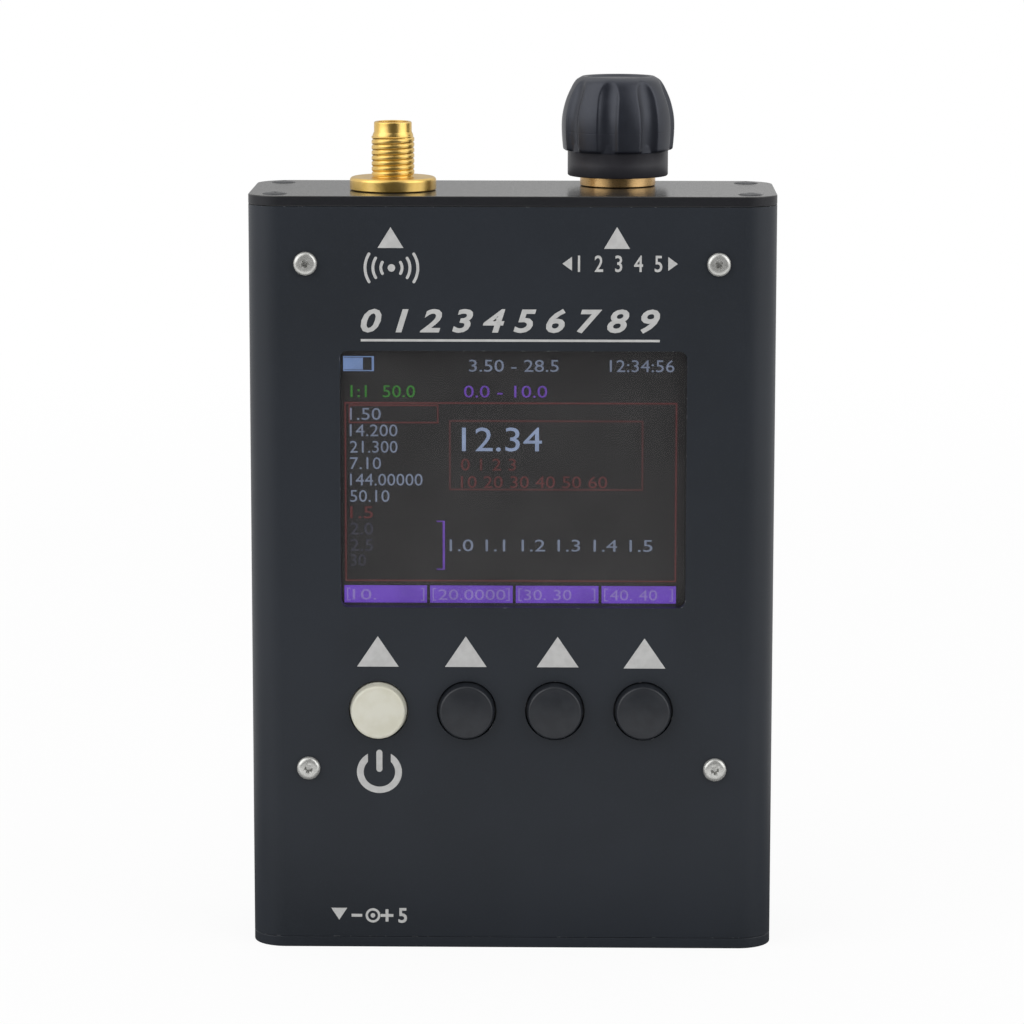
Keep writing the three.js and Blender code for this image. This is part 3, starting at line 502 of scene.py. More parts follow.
caseSettings = {
    "wall": 1.5,
    "corner": 5.0,
    "cornerSegments": 16,
    "channelInset": 3.95,
    "channelRadius": 2.5,
    "channelBore": 1.25,
    "channelShort": 0.1,  # how far channels and tongues stop before the ends
    "tongue": 0.6,
    "tongueHeight": 1.6,
    "tongueRoom": 0.15,
    "tongueSink": 0.02,
    "rebateRoom": 0.3,
    "windowWidth": 50.8,
    "windowHeight": 38.15,
    "windowCorner": 1.1,
    "keyHole": 4.4,
    "screwHole": 1.25,
    "jackHole": 3.25,
    "encoderHole": 3.65,
    "chargingHole": 3.55,
    "endReach": 0.08,  # how far the shells are lengthened towards the end plates
    "edge": 0.05,
    "plateEdge": 0.18,
    "rimSteep": 0.7,  # a face counts as the plate's rim if its normal rises less than this
}
plateLow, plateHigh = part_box("top_plate")
faceY = plateLow.y
keyNodes = ["power_cap", "key_1_cap", "key_2_cap", "key_3_cap"]
screwNodes = [f"front_screw_{i}" for i in (1, 2, 3, 4)]


def onSkin(point):  # true on the outside of the case, seen from above a rounded rectangle
    corner, slack = caseSettings["corner"] * mm, 0.02 * mm
    aside, ahead = abs(point.x) - (plateHigh.x - corner), abs(point.y) - (plateHigh.y - corner)
    reach = math.hypot(aside, ahead) if aside > 0 and ahead > 0 else max(aside, ahead)
    return abs(reach - corner) < slack


def channelShell(name, low, high, side):  # side is -1 for the front half and 1 for the rear half
    settings = caseSettings
    wall, corner, inset = (length * mm for length in take(settings, "wall", "corner", "channelInset"))
    outerY = low.y if side < 0 else high.y
    innerY = outerY - side * wall
    openY = (high.y if side < 0 else low.y) - side * overrun
    shell = block(name, low, high)
    roundEdges(shell, corner, settings["cornerSegments"],
               lambda middle, way: abs(way.z) > alongAxis and abs(middle.y - outerY) < wall)
    cavity = block("cavity", (low.x + wall, min(innerY, openY), low.z - overrun),
                   (high.x - wall, max(innerY, openY), high.z + overrun))
    roundEdges(cavity, corner - wall, settings["cornerSegments"],
               lambda middle, way: abs(way.z) > alongAxis and abs(middle.y - innerY) < onPlane)
    cut(shell, cavity)
    short, y = settings["channelShort"] * mm, outerY - side * inset
    for x in (low.x + inset, high.x - inset):
        join(shell, rod("channel", settings["channelRadius"] * mm, (x, y, low.z + short), (x, y, high.z - short)))
        cut(shell, rod("bore", settings["channelBore"] * mm, (x, y, low.z - overrun), (x, y, high.z + overrun), 24))
    return coat(shell, caseCoat, wornCoat)


def shellBox(node):
    low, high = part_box(node)
    reach = Vector((0, 0, caseSettings["endReach"] * mm))
    return low - reach, high + reach


def makeFrontShell():
    settings = caseSettings
    low, high = shellBox("front_shell")
    shell = channelShell("frontShell", low, high, -1)
    wall = settings["wall"] * mm
    rebateX = high.x - wall + (settings["tongue"] + settings["tongueRoom"]) * mm
    rebateY = high.y - (settings["tongueHeight"] + settings["rebateRoom"]) * mm
    cut(shell, block("rebate", (-rebateX, rebateY, low.z - overrun), (rebateX, high.y + overrun, high.z + overrun)))
    middle = middleOf("window_sheet")
    half = Vector((settings["windowWidth"], 0, settings["windowHeight"])) * mm / 2
    opening = block("opening", (middle.x - half.x, low.y - overrun, middle.z - half.z),
                    (middle.x + half.x, low.y + wall + overrun, middle.z + half.z))
    roundEdges(opening, settings["windowCorner"] * mm, 8, lambda middle, way: abs(way.y) > alongAxis)
    cut(shell, opening)
    for names, key, sides in ((keyNodes, "keyHole", 96), (screwNodes, "screwHole", 32)):
        for node in names:
            place = middleOf(node)
            hole = rod("hole", settings[key] * mm, (0, 0, -2 * overrun), (0, 0, 2 * overrun), sides)
            cut(shell, moved(hole, (place.x, low.y, place.z), faceTurn))
    breakEdges(shell, settings["edge"], onSkin, material=1)
    return dress(smooth(shell), "case", ["front_shell"])


def makeRearShell():
    settings = caseSettings
    low, high = shellBox("rear_shell")
    seam = low.y + settings["tongueHeight"] * mm
    shell = channelShell("rearShell", Vector((low.x, seam, low.z)), high, 1)
    inner, short, sink = high.x - settings["wall"] * mm, settings["channelShort"] * mm, settings["tongueSink"] * mm
    for sign in (-1, 1):
        near, far = sorted((sign * (inner - sink), sign * (inner + settings["tongue"] * mm)))
        join(shell, block("tongue", (near, low.y, low.z + short), (far, seam + overrun, high.z - short)))
    breakEdges(shell, settings["edge"], onSkin, material=1)
    return dress(smooth(shell), "case", ["rear_shell"])


# End plates with countersunk corners

threadSettings = {"pitch": 0.42, "depth": 0.13, "point": 0.3, "start": 0.5, "ends": 0.6}  # of all the screws
recessTaper = (0.45, 0.8, 1)  # size of a driver slot's floor beside its mouth
plateScrewSettings = {
    "head": 1.75,
    "headHeight": 0.85,
    "shank": 0.95,
    "room": 0.12,
    "length": 6.0,
    "dome": 0.25,
    "edge": 0.03,
    "recess": 0.95,
    "recessWidth": 0.36,
    "recessDepth": 0.6,
    "turn": 0.4,  # radians that each screw is turned further than the one before it
}


def makePlate(name, node, side, holes):  # side is 1 for the top plate and -1 for the bottom one
    settings, screw = caseSettings, plateScrewSettings
    low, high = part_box(node)
    plate = roundUprights(block(name, low, high), settings["corner"] * mm, settings["cornerSegments"])
    # the top plate's top carries a painted reflection in its tone, and its rim painted shade
    coat(plate, *((plateSheenCoat, plateRimShade) if side > 0 else (caseCoat, caseCoat)))
    face, thick = (high.z if side > 0 else low.z), (high.z - low.z) / mm
    x, y = high.x - settings["channelInset"] * mm, high.y - settings["channelInset"] * mm
    wide, narrow = screw["head"] + screw["room"], screw["shank"] + 2 * screw["room"]
    profile = [[0, -thick - past], [narrow, -thick - past], [narrow, -screw["headHeight"] - screw["room"]]]
    profile += [[wide, 0], [wide, past], [0, past]]
    for place in ((-x, -y, face), (x, -y, face), (-x, y, face), (x, y, face)):
        cut(plate, moved(spun("countersink", profile, 48), place, upsideDown if side < 0 else None))
    for key, through in holes:
        x, y = middleOf(through).xy
        cut(plate, rod("hole", settings[key] * mm, (x, y, low.z - overrun), (x, y, high.z + overrun), 64))
    breakEdges(plate, settings["plateEdge"], onSkin, 4, material=0)
    # the rim faces get the darker copy of the coat, painted shade
    coatFaces(plate, 1, lambda middle, normal: abs(normal.z) < settings["rimSteep"] and onSkin(middle))
    return dress(smooth(plate), "case", [node])


def crossCutter(settings, top):  # driver recess: two crossing slots that narrow towards their floor
    reach, half = settings["recess"] * mm, settings["recessWidth"] / 2 * mm
    arms = []
    for turn in (0, math.pi / 2):
        arm = block("arm", (-reach, -half, (top - settings["recessDepth"]) * mm), (reach, half, (top + past) * mm))
        pickFaces(arm, lambda middle, normal: normal.z < -alongAxis)
        bpy.ops.transform.resize(value=recessTaper)
        letGo()
        arms.append(moved(arm, (0, 0, 0), Matrix.Rotation(turn, 4, "Z")))
    return join(arms[0], arms[1])


def threaded(settings, top):  # profile of a screw's tip and shank, up to the height top
    length, shank = settings["length"], settings["shank"]
    pitch, depth = threadSettings["pitch"], threadSettings["depth"]
    points = [[0, -length], [shank - 2 * depth, -length], [shank - depth, -length + threadSettings["point"]]]
    for i in range(int((length + top - threadSettings["ends"]) / pitch)):
        start = -length + threadSettings["start"] + i * pitch
        points += [[shank - depth, start], [shank, start + pitch / 2]]
    return points + [[shank - depth, top]]


def screwOf(settings, profile, top, sides, finish):  # turned from its profile, with a cross recess in its top
    screw = cut(spun("screw", profile, sides), crossCutter(settings, top))
    return coat(soften(screw, settings["edge"], 2, 40), finish)


def makePlateScrews():
    settings = plateScrewSettings
    head = settings["head"]
    sets = ((1, "top_plate", "topScrew", settings["dome"]), (-1, "bottom_plate", "bottomScrew", 0.0))
    for side, plate, label, dome in sets:
        profile = threaded(settings, -settings["headHeight"]) + [[head, 0]]
        if dome:
            profile += [[head * math.cos(i * math.pi / 12), dome * math.sin(i * math.pi / 12)] for i in range(1, 6)]
        master = screwOf(settings, profile + [[0, dome]], dome, 48, screwBlack)
        for i in (1, 2, 3, 4):
            node = f"{plate}_screw_{i}"
            low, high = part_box(node)
            centre = middleOf(node)
            face = high.z - dome * mm if side > 0 else low.z
            turn = Matrix.Rotation(settings["turn"] * i, 4, "Z")
            screw = copyOf(master, f"{label}{i}", (centre.x, centre.y, face), turn if side > 0 else upsideDown @ turn)
            dress(screw, "case", [node])
        scrap(master)


# Front screws: bright domed heads with a small cross recess

frontScrewSettings = {
    "head": 1.73,
    "height": 0.95,
    "flat": 1.0,
    "side": 0.3,
    "crown": 0.06,  # height that the flat adds towards its middle
    "sag": 0.015,
    "foot": 0.03,
    "shank": 0.95,
    "length": 6.4,
    "edge": 0.03,
    "recess": 0.88,
    "recessWidth": 0.58,
    "recessDepth": 0.8,
    "turnFrom": 0.3,  # radians
    "turnStep": 0.5,
}


def makeFrontScrews():
    settings = frontScrewSettings
    height, flat, side = take(settings, "height", "flat", "side")
    profile = threaded(settings, settings["foot"]) + [[settings["head"], settings["foot"]]]
    run, rise = settings["head"] - flat, height - side - settings["crown"]
    for i in range(9):
        angle = i / 8 * math.pi / 2
        profile.append([flat + run * math.cos(angle), side + rise * math.sin(angle)])
    profile += [[flat * 0.5, height - settings["sag"]], [0, height]]
    master = screwOf(settings, profile, height, 64, screwBright)
    for i, node in enumerate(screwNodes):
        place = middleOf(node)
        turn = faceTurn @ Matrix.Rotation(settings["turnFrom"] + settings["turnStep"] * i, 4, "Z")
        dress(copyOf(master, f"frontScrew{i + 1}", (place.x, faceY, place.z), turn), "case", [node])
    scrap(master)


# Keys: round caps with a softly rolled rim and a slightly domed face

keySettings = {
    "radius": 4.2,
    "proud": 2.1,
    "roll": 0.42,
    "taper": 0.2,
    "dome": 0.26,
    "rimFlat": 0.08,
    "flange": 5.1,
    "flangeThick": 0.7,
    "flangeEdge": 0.1,
}


def makeKeys():
    settings = keySettings
    radius, roll, flange, edge = take(settings, "radius", "roll", "flange", "flangeEdge")
    back = -(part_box("power_cap")[1].y - faceY) / mm
    front, top = back + settings["flangeThick"], radius - settings["taper"]
    face = settings["proud"] - settings["dome"]
    profile = [[0, back], [flange - edge, back], [flange, back + edge], [flange, front - edge]]
    profile += [[flange - edge, front], [radius, front], [radius, 0]]
    profile += arc((top - roll, face - roll), roll, 0, 90, 8)
    domeRim = top - roll - settings["rimFlat"]
    for i in range(9):
        share = i / 8
        profile.append([domeRim * (1 - share), face + settings["dome"] * math.sin(share * math.pi / 2)])
    master = smooth(spun("cap", profile, 96))
    for node in keyNodes:
        place = middleOf(node)
        cap = copyOf(master, node.replace("_", "") + "Piece", (place.x, faceY, place.z), faceTurn)
        cream = node == "power_cap"
        coat(cap, creamPlastic if cream else keyPlastic)
        dress(cap, node.replace("_cap", "_button"), [node])
    scrap(master)


# RF jack: threaded gold barrel on a round flange, white insulator, slotted centre contact

jackSettings = {
    "flange": 6.38,
    "flangeThick": 1.95,
    "flangeEdge": 0.5,
    "flangeFoot": 0.15,
    "film": 0.05,  # gap over the plate
    "fillet": 0.1,  # between flange and barrel
    "root": 3.0,
    "crest": 3.16,
    "groove": 0.3,  # half the width of a groove, as a share of the pitch
    "threadGap": 0.12,  # from the flange to the thread
    "threadTo": 8.0,
    "fade": 0.12,  # height over which the thread begins and ends
    "phase": 2.29,  # height of a crest on the left
    "collar": [(2.99, 8.05), (2.98, 8.2), (2.83, 8.5)],  # plain cone between thread and nose
    "pitch": 0.79375,
    "turns": 7,
    "nose": 2.79,
    "noseFrom": 8.62,
    "noseTop": 10.095,
    "noseEdge": 0.25,
    "bore": 2.3,
    "boreEdge": 0.08,
    "barrelWall": 0.1,  # points nearer to the bore than this aren't wound
    "tail": 3.1,
    "tailEnd": -8.5,
    "insulatorSink": 0.6,
    "insulatorRoom": 0.05,
    "insulatorEdge": 0.1,
    "insulatorFlare": (0.15, 0.12),  # these and the next are widths and depths
    "contact": 0.63,
    "contactBore": 0.4,
    "contactDepth": 3.0,
    "contactTail": 1.5,
    "contactEdge": 0.1,
    "contactTip": (0.08, 0.1),
    "contactMouth": (0.05, 0.06),
    "slot": 0.14,
    "slotDepth": 2.0,
    "rowsPerTurn": 14,
    "columns": 96,
}


def cutThread(obj, settings, low, high):  # winds the plain barrel between low and high into a thread
    root, crest, fadeOver = take(settings, "root", "crest", "fade")
    mesh = edit(obj, "VERT")
    for vertex in mesh.verts:
        height, radius = vertex.co.z / mm, math.hypot(vertex.co.x, vertex.co.y) / mm
        outside = radius > settings["bore"] + settings["barrelWall"]
        if outside and low - rounding < height < high + rounding:
            turn = math.atan2(vertex.co.y, vertex.co.x) / (2 * math.pi)
            phase = ((height - settings["phase"]) / settings["pitch"] - turn) % 1
            wave = min(min(phase, 1 - phase) / settings["groove"], 1)
            wave = wave * wave * (3 - 2 * wave)
            fade = min((height - low) / fadeOver, (high - height) / fadeOver, 1)
            wanted = root + (crest - root) * wave * max(fade, 0)
            vertex.co.x *= wanted / radius
            vertex.co.y *= wanted / radius
    bmesh.update_edit_mesh(obj.data)
    letGo()
    return obj


def makeRfJack():
    settings = jackSettings
    axis = middleOf("rf_jack_body")
    place = (axis.x, axis.y, plateHigh.z)
    film, flange, thick, edge, foot = take(settings, "film", "flange", "flangeThick", "flangeEdge", "flangeFoot")
    root, fillet, tail, tailEnd = take(settings, "root", "fillet", "tail", "tailEnd")
    bore, mouth, nose, noseTop, noseEdge = take(settings, "bore", "boreEdge", "nose", "noseTop", "noseEdge")
    threadFrom, threadTo = thick + settings["threadGap"], settings["threadTo"]
    rows = settings["turns"] * settings["rowsPerTurn"]
    profile = [[tail, tailEnd], [tail, film], [flange - foot, film], [flange, film + foot]]
    profile += arc((flange - edge, thick - edge), edge, 0, 90, 6)
    profile += arc((root + fillet, thick + fillet), fillet, 270, 180, 3)
    profile += [[root, threadFrom + (threadTo - threadFrom) * i / rows] for i in range(rows + 1)]
    profile += settings["collar"] + [[nose, settings["noseFrom"]]]
    profile += arc((nose - noseEdge, noseTop - noseEdge), noseEdge, 0, 90, 5)
    profile += [[bore + mouth, noseTop], [bore, noseTop - mouth], [bore, tailEnd]]
    barrel = cutThread(spun("rfJackBarrel", ringOf(profile), settings["columns"]), settings, threadFrom, threadTo)
    dress(moved(coat(smooth(barrel), goldPlate), place), "case", ["rf_jack_body"])

    contact, room, edge = take(settings, "contact", "insulatorRoom", "insulatorEdge")
    inner, outer, top = contact + room, bore - room, noseTop - settings["insulatorSink"]
    wide, deep = settings["insulatorFlare"]
    profile = [[inner, tailEnd], [outer, tailEnd], [outer, top - edge], [outer - edge, top]]
    profile += [[inner + wide, top], [inner, top - deep]]
    insulator = spun("rfJackInsulator", ringOf(profile), 72)
    dress(moved(coat(smooth(insulator), whitePlastic), place), "case", ["rf_jack_insulator"])

    hollow, edge, tip, mouth = take(settings, "contactBore", "contactEdge", "contactTip", "contactMouth")
    end, floor = tailEnd - settings["contactTail"], top - settings["contactDepth"]
    profile = [[0, end], [contact - edge, end], [contact, end + edge], [contact, top - tip[1]]]
    profile += [[contact - tip[0], top], [hollow + mouth[0], top], [hollow, top - mouth[1]]]
    profile += [[hollow, floor], [0, floor]]
    pin = spun("rfJackContact", profile, 48)
    half, depth = settings["slot"] / 2 * mm, (top - settings["slotDepth"]) * mm
    for turn in (0, math.pi / 2):
        slot = block("slot", (-overrun, -half, depth), (overrun, half, depth + 2 * overrun))
        cut(pin, moved(slot, (0, 0, 0), Matrix.Rotation(turn, 4, "Z")))
    dress(moved(coat(smooth(pin), goldPlate), place), "case", ["rf_jack_contact"])


# Round slotted nut that holds the encoder

nutSettings = {
    "radius": 5.63,
    "thick": 2.3,
    "edge": 0.28,
    "foot": 0.12,
    "hole": 3.55,
    "holeEdge": 0.2,
    "film": 0.05,  # gap over the plate
    "slotWidth": 1.4,
    "slotDepth": 0.7,
    "slotReach": 10,
}


def makeEncoderNut():
    settings = nutSettings
    axis = middleOf("encoder_nut")
    radius, edge, foot, hole, mouth, low = take(settings, "radius", "edge", "foot", "hole", "holeEdge", "film")
    top = low + settings["thick"]
    profile = [[hole, low], [radius - foot, low], [radius, low + foot]]
    profile += arc((radius - edge, top - edge), edge, 0, 90, 6) + [[hole + mouth, top], [hole, top - mouth]]
    nut = spun("encoderNut", ringOf(profile), 96)
    reach, half = settings["slotReach"] * mm, settings["slotWidth"] / 2 * mm
    cut(nut, block("slot", (-reach, -half, (top - settings["slotDepth"]) * mm), (reach, half, (top + past) * mm)))
    dress(moved(coat(smooth(nut), nutGold), (axis.x, axis.y, plateHigh.z)), "case", ["encoder_nut"])


# Knob: moulded, crowned, with soft flutes that end in an arch below the top rim

knobSettings = {
    "radius": 8.4,
    "height": 14.73,
    "skirt": 7.5,
    "skirtHeight": 3.75,
    "footEdge": 0.15,
    "skirtFillet": (0.1, 0.12),  # width and height
    "crownFoot": 0.25,
    "cavity": 6.3,
    "cavityDepth": 3.2,
    "dish": 0.35,
    "dishRadius": 4.9,
    "dishEdge": (0.12, 0.08),  # width and height
    "dishRings": (0.6, 0.25),  # shares of the dish's radius
    "shaftHole": 3.05,
    "topWall": 2.15,
    "flutes": 8,
    "fluteRadius": 2.3,
    "fluteDepth": 0.74,
    "fluteTurn": -101.25,  # degrees, the middle of the first flute
    "fluteInside": 0.75,  # nothing is pressed inside this share of the skirt's radius
    "fluteFoot": 0.1,  # share of the crown's height in which the flutes stop outside the skirt
    "skirtRoom": 0.08,  # by this much
    "archFrom": 0.7,
    "archTo": 0.96,
    "softness": 0.1,
    "rimEdge": 0.3,
    "rimFlat": 0.15,
    "mouldLine": 2.9,  # height of the mould's parting line above the skirt
    "mouldHalf": 0.06,
    "mouldDepth": 0.025,
    "coatBelow": 0.1,  # the skirt's own finish starts this far below the crown
    "coatOutside": 0.5,  # and this far outside the cavity
    "columns": 320,
    "rows": 54,
}
knobOutline = [
    (0, 0.972), (0.12, 0.988), (0.26, 1), (0.38, 1), (0.5, 0.984), (0.64, 0.942), (0.74, 0.896), (0.83, 0.842),
    (0.91, 0.785), (0.96, 0.73), (1, 0.64),
]  # height above the skirt and radius, as shares


def outlineShare(share):  # smooth curve through the outline's points
    points = knobOutline
    last = len(points) - 1
    i = max(k for k in range(last) if points[k][0] <= share or k == 0)
    (x0, y0), (x1, y1) = points[i], points[i + 1]
    before, after = points[max(i - 1, 0)], points[min(i + 2, last)]
    slopeIn = (y1 - before[1]) / (x1 - before[0])
    slopeOut = (after[1] - y0) / (after[0] - x0)
    t, span = (share - x0) / (x1 - x0), x1 - x0
    return (
        (2 * t ** 3 - 3 * t ** 2 + 1) * y0 + (t ** 3 - 2 * t ** 2 + t) * span * slopeIn
        + (3 * t ** 2 - 2 * t ** 3) * y1 + (t ** 3 - t ** 2) * span * slopeOut
    )


def softLeast(first, second, softness):  # the lesser of two lengths, rounded where they cross
    share = min(max(0.5 + 0.5 * (second - first) / softness, 0), 1)
    return second * (1 - share) + first * share - softness * share * (1 - share)


def pressFlutes(knob, settings):
    step = 2 * math.pi / settings["flutes"]
    skirt, skirtTop, rise = settings["skirt"], settings["skirtHeight"], settings["height"] - settings["skirtHeight"]
    mesh = edit(knob, "VERT")
    for vertex in mesh.verts:
        height, radius = vertex.co.z / mm, math.hypot(vertex.co.x, vertex.co.y) / mm
        share = (height - skirtTop) / rise
        if share < -rounding or share > settings["archTo"] or radius < skirt * settings["fluteInside"]:
            continue
        turn = math.atan2(vertex.co.y, vertex.co.x) - math.radians(settings["fluteTurn"])
        aside = (turn + step / 2) % step - step / 2
        arch = max((share - settings["archFrom"]) / (settings["archTo"] - settings["archFrom"]), 0)
        middle = radius - settings["fluteDepth"] * (1 - arch ** 2) + settings["fluteRadius"]
        inside = settings["fluteRadius"] ** 2 - (middle * math.sin(aside)) ** 2
        if inside > 0:
            pressed = middle * math.cos(aside) - math.sqrt(inside)
            wanted = softLeast(radius, pressed, settings["softness"])
            if share < settings["fluteFoot"]:
                wanted = max(wanted, min(radius, skirt + settings["skirtRoom"]))
            vertex.co.x *= wanted / radius
            vertex.co.y *= wanted / radius
    bmesh.update_edit_mesh(knob.data)
    letGo()
    return knob


def makeKnob():
    settings = knobSettings
    axis = middleOf("knob")
    low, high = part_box("knob")
    radius, height, skirt, skirtTop, foot = take(settings, "radius", "height", "skirt", "skirtHeight", "footEdge")
    cavity, depth, hole = take(settings, "cavity", "cavityDepth", "shaftHole")
    dish, dishRadius, dishEdge, fillet = take(settings, "dish", "dishRadius", "dishEdge", "skirtFillet")
    rise, rows = height - skirtTop, settings["rows"]
    holeTop = height - settings["topWall"]
    profile = [[0, holeTop], [hole, holeTop], [hole, depth], [cavity, depth], [cavity, foot], [cavity + foot, 0]]
    profile += [[skirt - foot, 0], [skirt, foot], [skirt, skirtTop * 0.5], [skirt, skirtTop - fillet[1]]]
    profile += [[skirt + fillet[0], skirtTop], [skirt + settings["crownFoot"], skirtTop]]
    line, half, edge = take(settings, "mouldLine", "mouldHalf", "rimEdge")
    heights = sorted([rise * i / rows for i in range(rows + 1)] + [line - half, line, line + half])
    for above in heights:
        pinch = edge * (1 - min(above / edge, 1)) ** 2 + (settings["mouldDepth"] if above == line else 0)
        profile.append([outlineShare(above / rise) * radius - pinch, skirtTop + above])
    rim, floor = outlineShare(1) * radius - settings["rimFlat"], height - dish
    profile += [[rim, height], [dishRadius, height], [dishRadius - dishEdge[0], height - dishEdge[1]]]
    profile += [[dishRadius - dish, floor + dishEdge[1]], [dishRadius - dish - dishEdge[0], floor]]
    profile += [[dishRadius * share, floor] for share in settings["dishRings"]] + [[0, floor]]
    knob = pressFlutes(spun("knobPiece", profile, settings["columns"]), settings)
    coat(smooth(knob, 50), knobPlastic, skirtPlastic)
    below, outside = (skirtTop - settings["coatBelow"]) * mm, (cavity + settings["coatOutside"]) * mm
    coatFaces(knob, 1, lambda middle, normal: middle.z < below and middle.xy.length > outside)
    dress(moved(knob, (axis.x, (low.y + high.y) / 2, low.z)), "knob", ["knob"])


# Foam pad between battery and case

padSettings = {"margin": 0.15, "edge": 0.25}


def makeFoamPad():
    settings = padSettings
    low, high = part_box("battery_pad")
    inset = Vector((settings["margin"], 0, settings["margin"])) * mm
    pad = block("foamPad", low + inset, high - inset)
    soften(pad, settings["edge"], 3)
    coat(pad, padFoam)
    dress(pad, "case", ["battery_pad"])


makeFrontShell()
makeRearShell()
makePlate("topPlate", "top_plate", 1, [("jackHole", "rf_jack_body"), ("encoderHole", "encoder_nut")])
makePlate("bottomPlate", "bottom_plate", -1, [("chargingHole", "charging_jack_pin")])
print("case ready")
makePlateScrews()
makeFrontScrews()
makeKeys()
print("screws and keys ready")
makeRfJack()
makeEncoderNut()
makeKnob()
makeFoamPad()
print("jack, nut and knob ready")


# Finishes of the solids that are carried over as they are

keyNames = [node.replace("_cap", "") for node in keyNodes]
nodeFinishes = [
    (windowClear, ["window_sheet"]),
    (displayFace, ["display_glass"]),
    (whitePlastic, ["display_frame", "battery_plug", "encoder_rotor"]),
    (circuitBoard, ["main_board"]),
    (tinSheet, ["rf_shield_can"] + [name + "_switch" for name in keyNames]),
    (blackPlastic, ["processor_chip", "charging_jack", "encoder_case"] + [name + "_plunger" for name in keyNames]),
    (amberFilm, ["display_ribbon", "encoder_ribbon"]),
    (batterySkin, ["battery"]),
    (redWire, ["battery_lead"]),
    (brownCoax, ["coax_pigtail"]),
    (goldPlate, ["rf_jack_nut"]),
    (spacerBrass, [f"board_spacer_{i}" for i in (1, 2, 3, 4)]),
    (turnedSteel, ["charging_jack_pin", "encoder_washer", "encoder_bushing", "encoder_shaft", "rf_jack_washer"]),
    (turnedSteel, ["knob_spring_clip"]),
]
for material, names in nodeFinishes:
    for name in names:
        mesh = nodes[name].data
        for i in range(len(mesh.materials)):
            mesh.materials[i] = material
        if not mesh.materials:
            mesh.materials.append(material)
print("carried-over solids finished")


# Flat marks: filled outlines and plain numbers, a hundredth of a millimetre or two thick

def flatMark(name, outlines, thick):  # outlines in millimetres, a second one inside the first is a hole
    letGo()
    curve = bpy.data.curves.new(name, "CURVE")
    curve.dimensions, curve.fill_mode, curve.extrude = "2D", "BOTH", thick * mm / 2
    for outline in outlines:
        spline = curve.splines.new("POLY")
        spline.points.add(len(outline) - 1)
        spline.use_cyclic_u = True
        for point, (x, y) in zip(spline.points, outline):
            point.co = (x * mm, y * mm, 0, 1)
    obj = bpy.data.objects.new(name, curve)
    bpy.context.scene.collection.objects.link(obj)
    pick(obj)
    bpy.ops.object.convert(target="MESH")
    return obj


def rectangle(box):  # boxes are left, low, right and top
    left, low, right, top = box
    return [(left, low), (right, low), (right, top), (left, top)]


def numbers(name, body, box, thick, slant=0.0, thicken=0.0):  # plain numbers that fill a box
    half = 0.01  # of the letters' own thickness, before they are scaled to the box
    letGo()
    bpy.ops.object.text_add(location=(0, 0, 0))
    obj = bpy.context.object
    obj.name = name
    obj.data.body = body
    obj.data.shear = slant
    obj.data.offset = thicken
    obj.data.extrude = half
    obj.data.resolution_u = 3
    bpy.ops.object.convert(target="MESH")
    corners = [vertex.co for vertex in obj.data.vertices]
    left, right = min(c.x for c in corners), max(c.x for c in corners)
    low, top = min(c.y for c in corners), max(c.y for c in corners)
    scale = Vector(((box[2] - box[0]) / (right - left), (box[3] - box[1]) / (top - low), thick / (2 * half))) * mm
    place = Vector((box[0] * mm - left * scale.x, box[1] * mm - low * scale.y, 0))
    obj.data.transform(Matrix.Translation(place) @ Matrix.Diagonal((*scale, 1)))
    return obj


def arcStroke(centre, radius, width, start, stop, steps):  # outline of a drawn arc with round ends, in degrees
    half = width / 2
    ends = []
    for angle, turn in ((stop, stop), (start, start + 180)):
        middle = arc(centre, radius, angle, angle, 1)[0]
        ends.append(arc(middle, half, turn, turn + 180, 8)[1:-1])
    outside, inside = arc(centre, radius + half, start, stop, steps), arc(centre, radius - half, stop, start, steps)
    return outside + ends[0] + inside + ends[1]


def plusOutline(centre, a, b):  # reach and half width of the arms
    corners = [(-b, -a), (b, -a), (b, -b), (a, -b), (a, b), (b, b)]
    corners += [(-x, -y) for x, y in corners]
    return [(centre[0] + x, centre[1] + y) for x, y in corners]


def joined(name, pieces):
    pick(pieces[0])
    for piece in pieces[1:]:
        piece.select_set(True)
    bpy.ops.object.join()
    pieces[0].name = name
    return pieces[0]


# Printed marks on the front

printSettings = {
    "thick": 0.02,
    "power": (-19.64, 26.81),  # middle of the power symbol's ring
    "powerRadii": (3.35, 2.34),
    "powerSquash": 0.955,  # height of the ring beside its width
    "powerGap": 1.7,  # where the ring is cut off on both sides of the bar
    "barEnds": (27.28, 29.74),
    "barHalf": 0.45,
    "waves": (-17.57, 102.05),  # middle of the radio waves
    "waveDot": 0.55,
    "waveRadii": (1.55, 2.7, 3.85),
    "waveWidth": 0.42,
    "waveSpan": 32,  # degrees to each side of level
    "turns": (9.6, 101.5, 21.9, 103.95),
    "turnLeft": [(7.35, 102.72), (8.75, 101.7), (8.75, 103.74)],
    "turnRight": [(24.15, 102.72), (22.75, 103.74), (22.75, 101.7)],
    "scale": (-22.1, 92.5, 21.6, 96.1),
    "scaleLine": (-22.1, 91.25, 21.6, 91.6),
    "volts": (-16.9, 3.7, -15.6, 6.0),
    "plus": (-18.6, 4.85),
    "plusArms": (0.95, 0.22),
    "minus": (-23.9, 4.63, -22.3, 5.07),
    "inlet": (-20.7, 4.85),
    "inletRadii": (1.1, 0.75, 0.35),
}
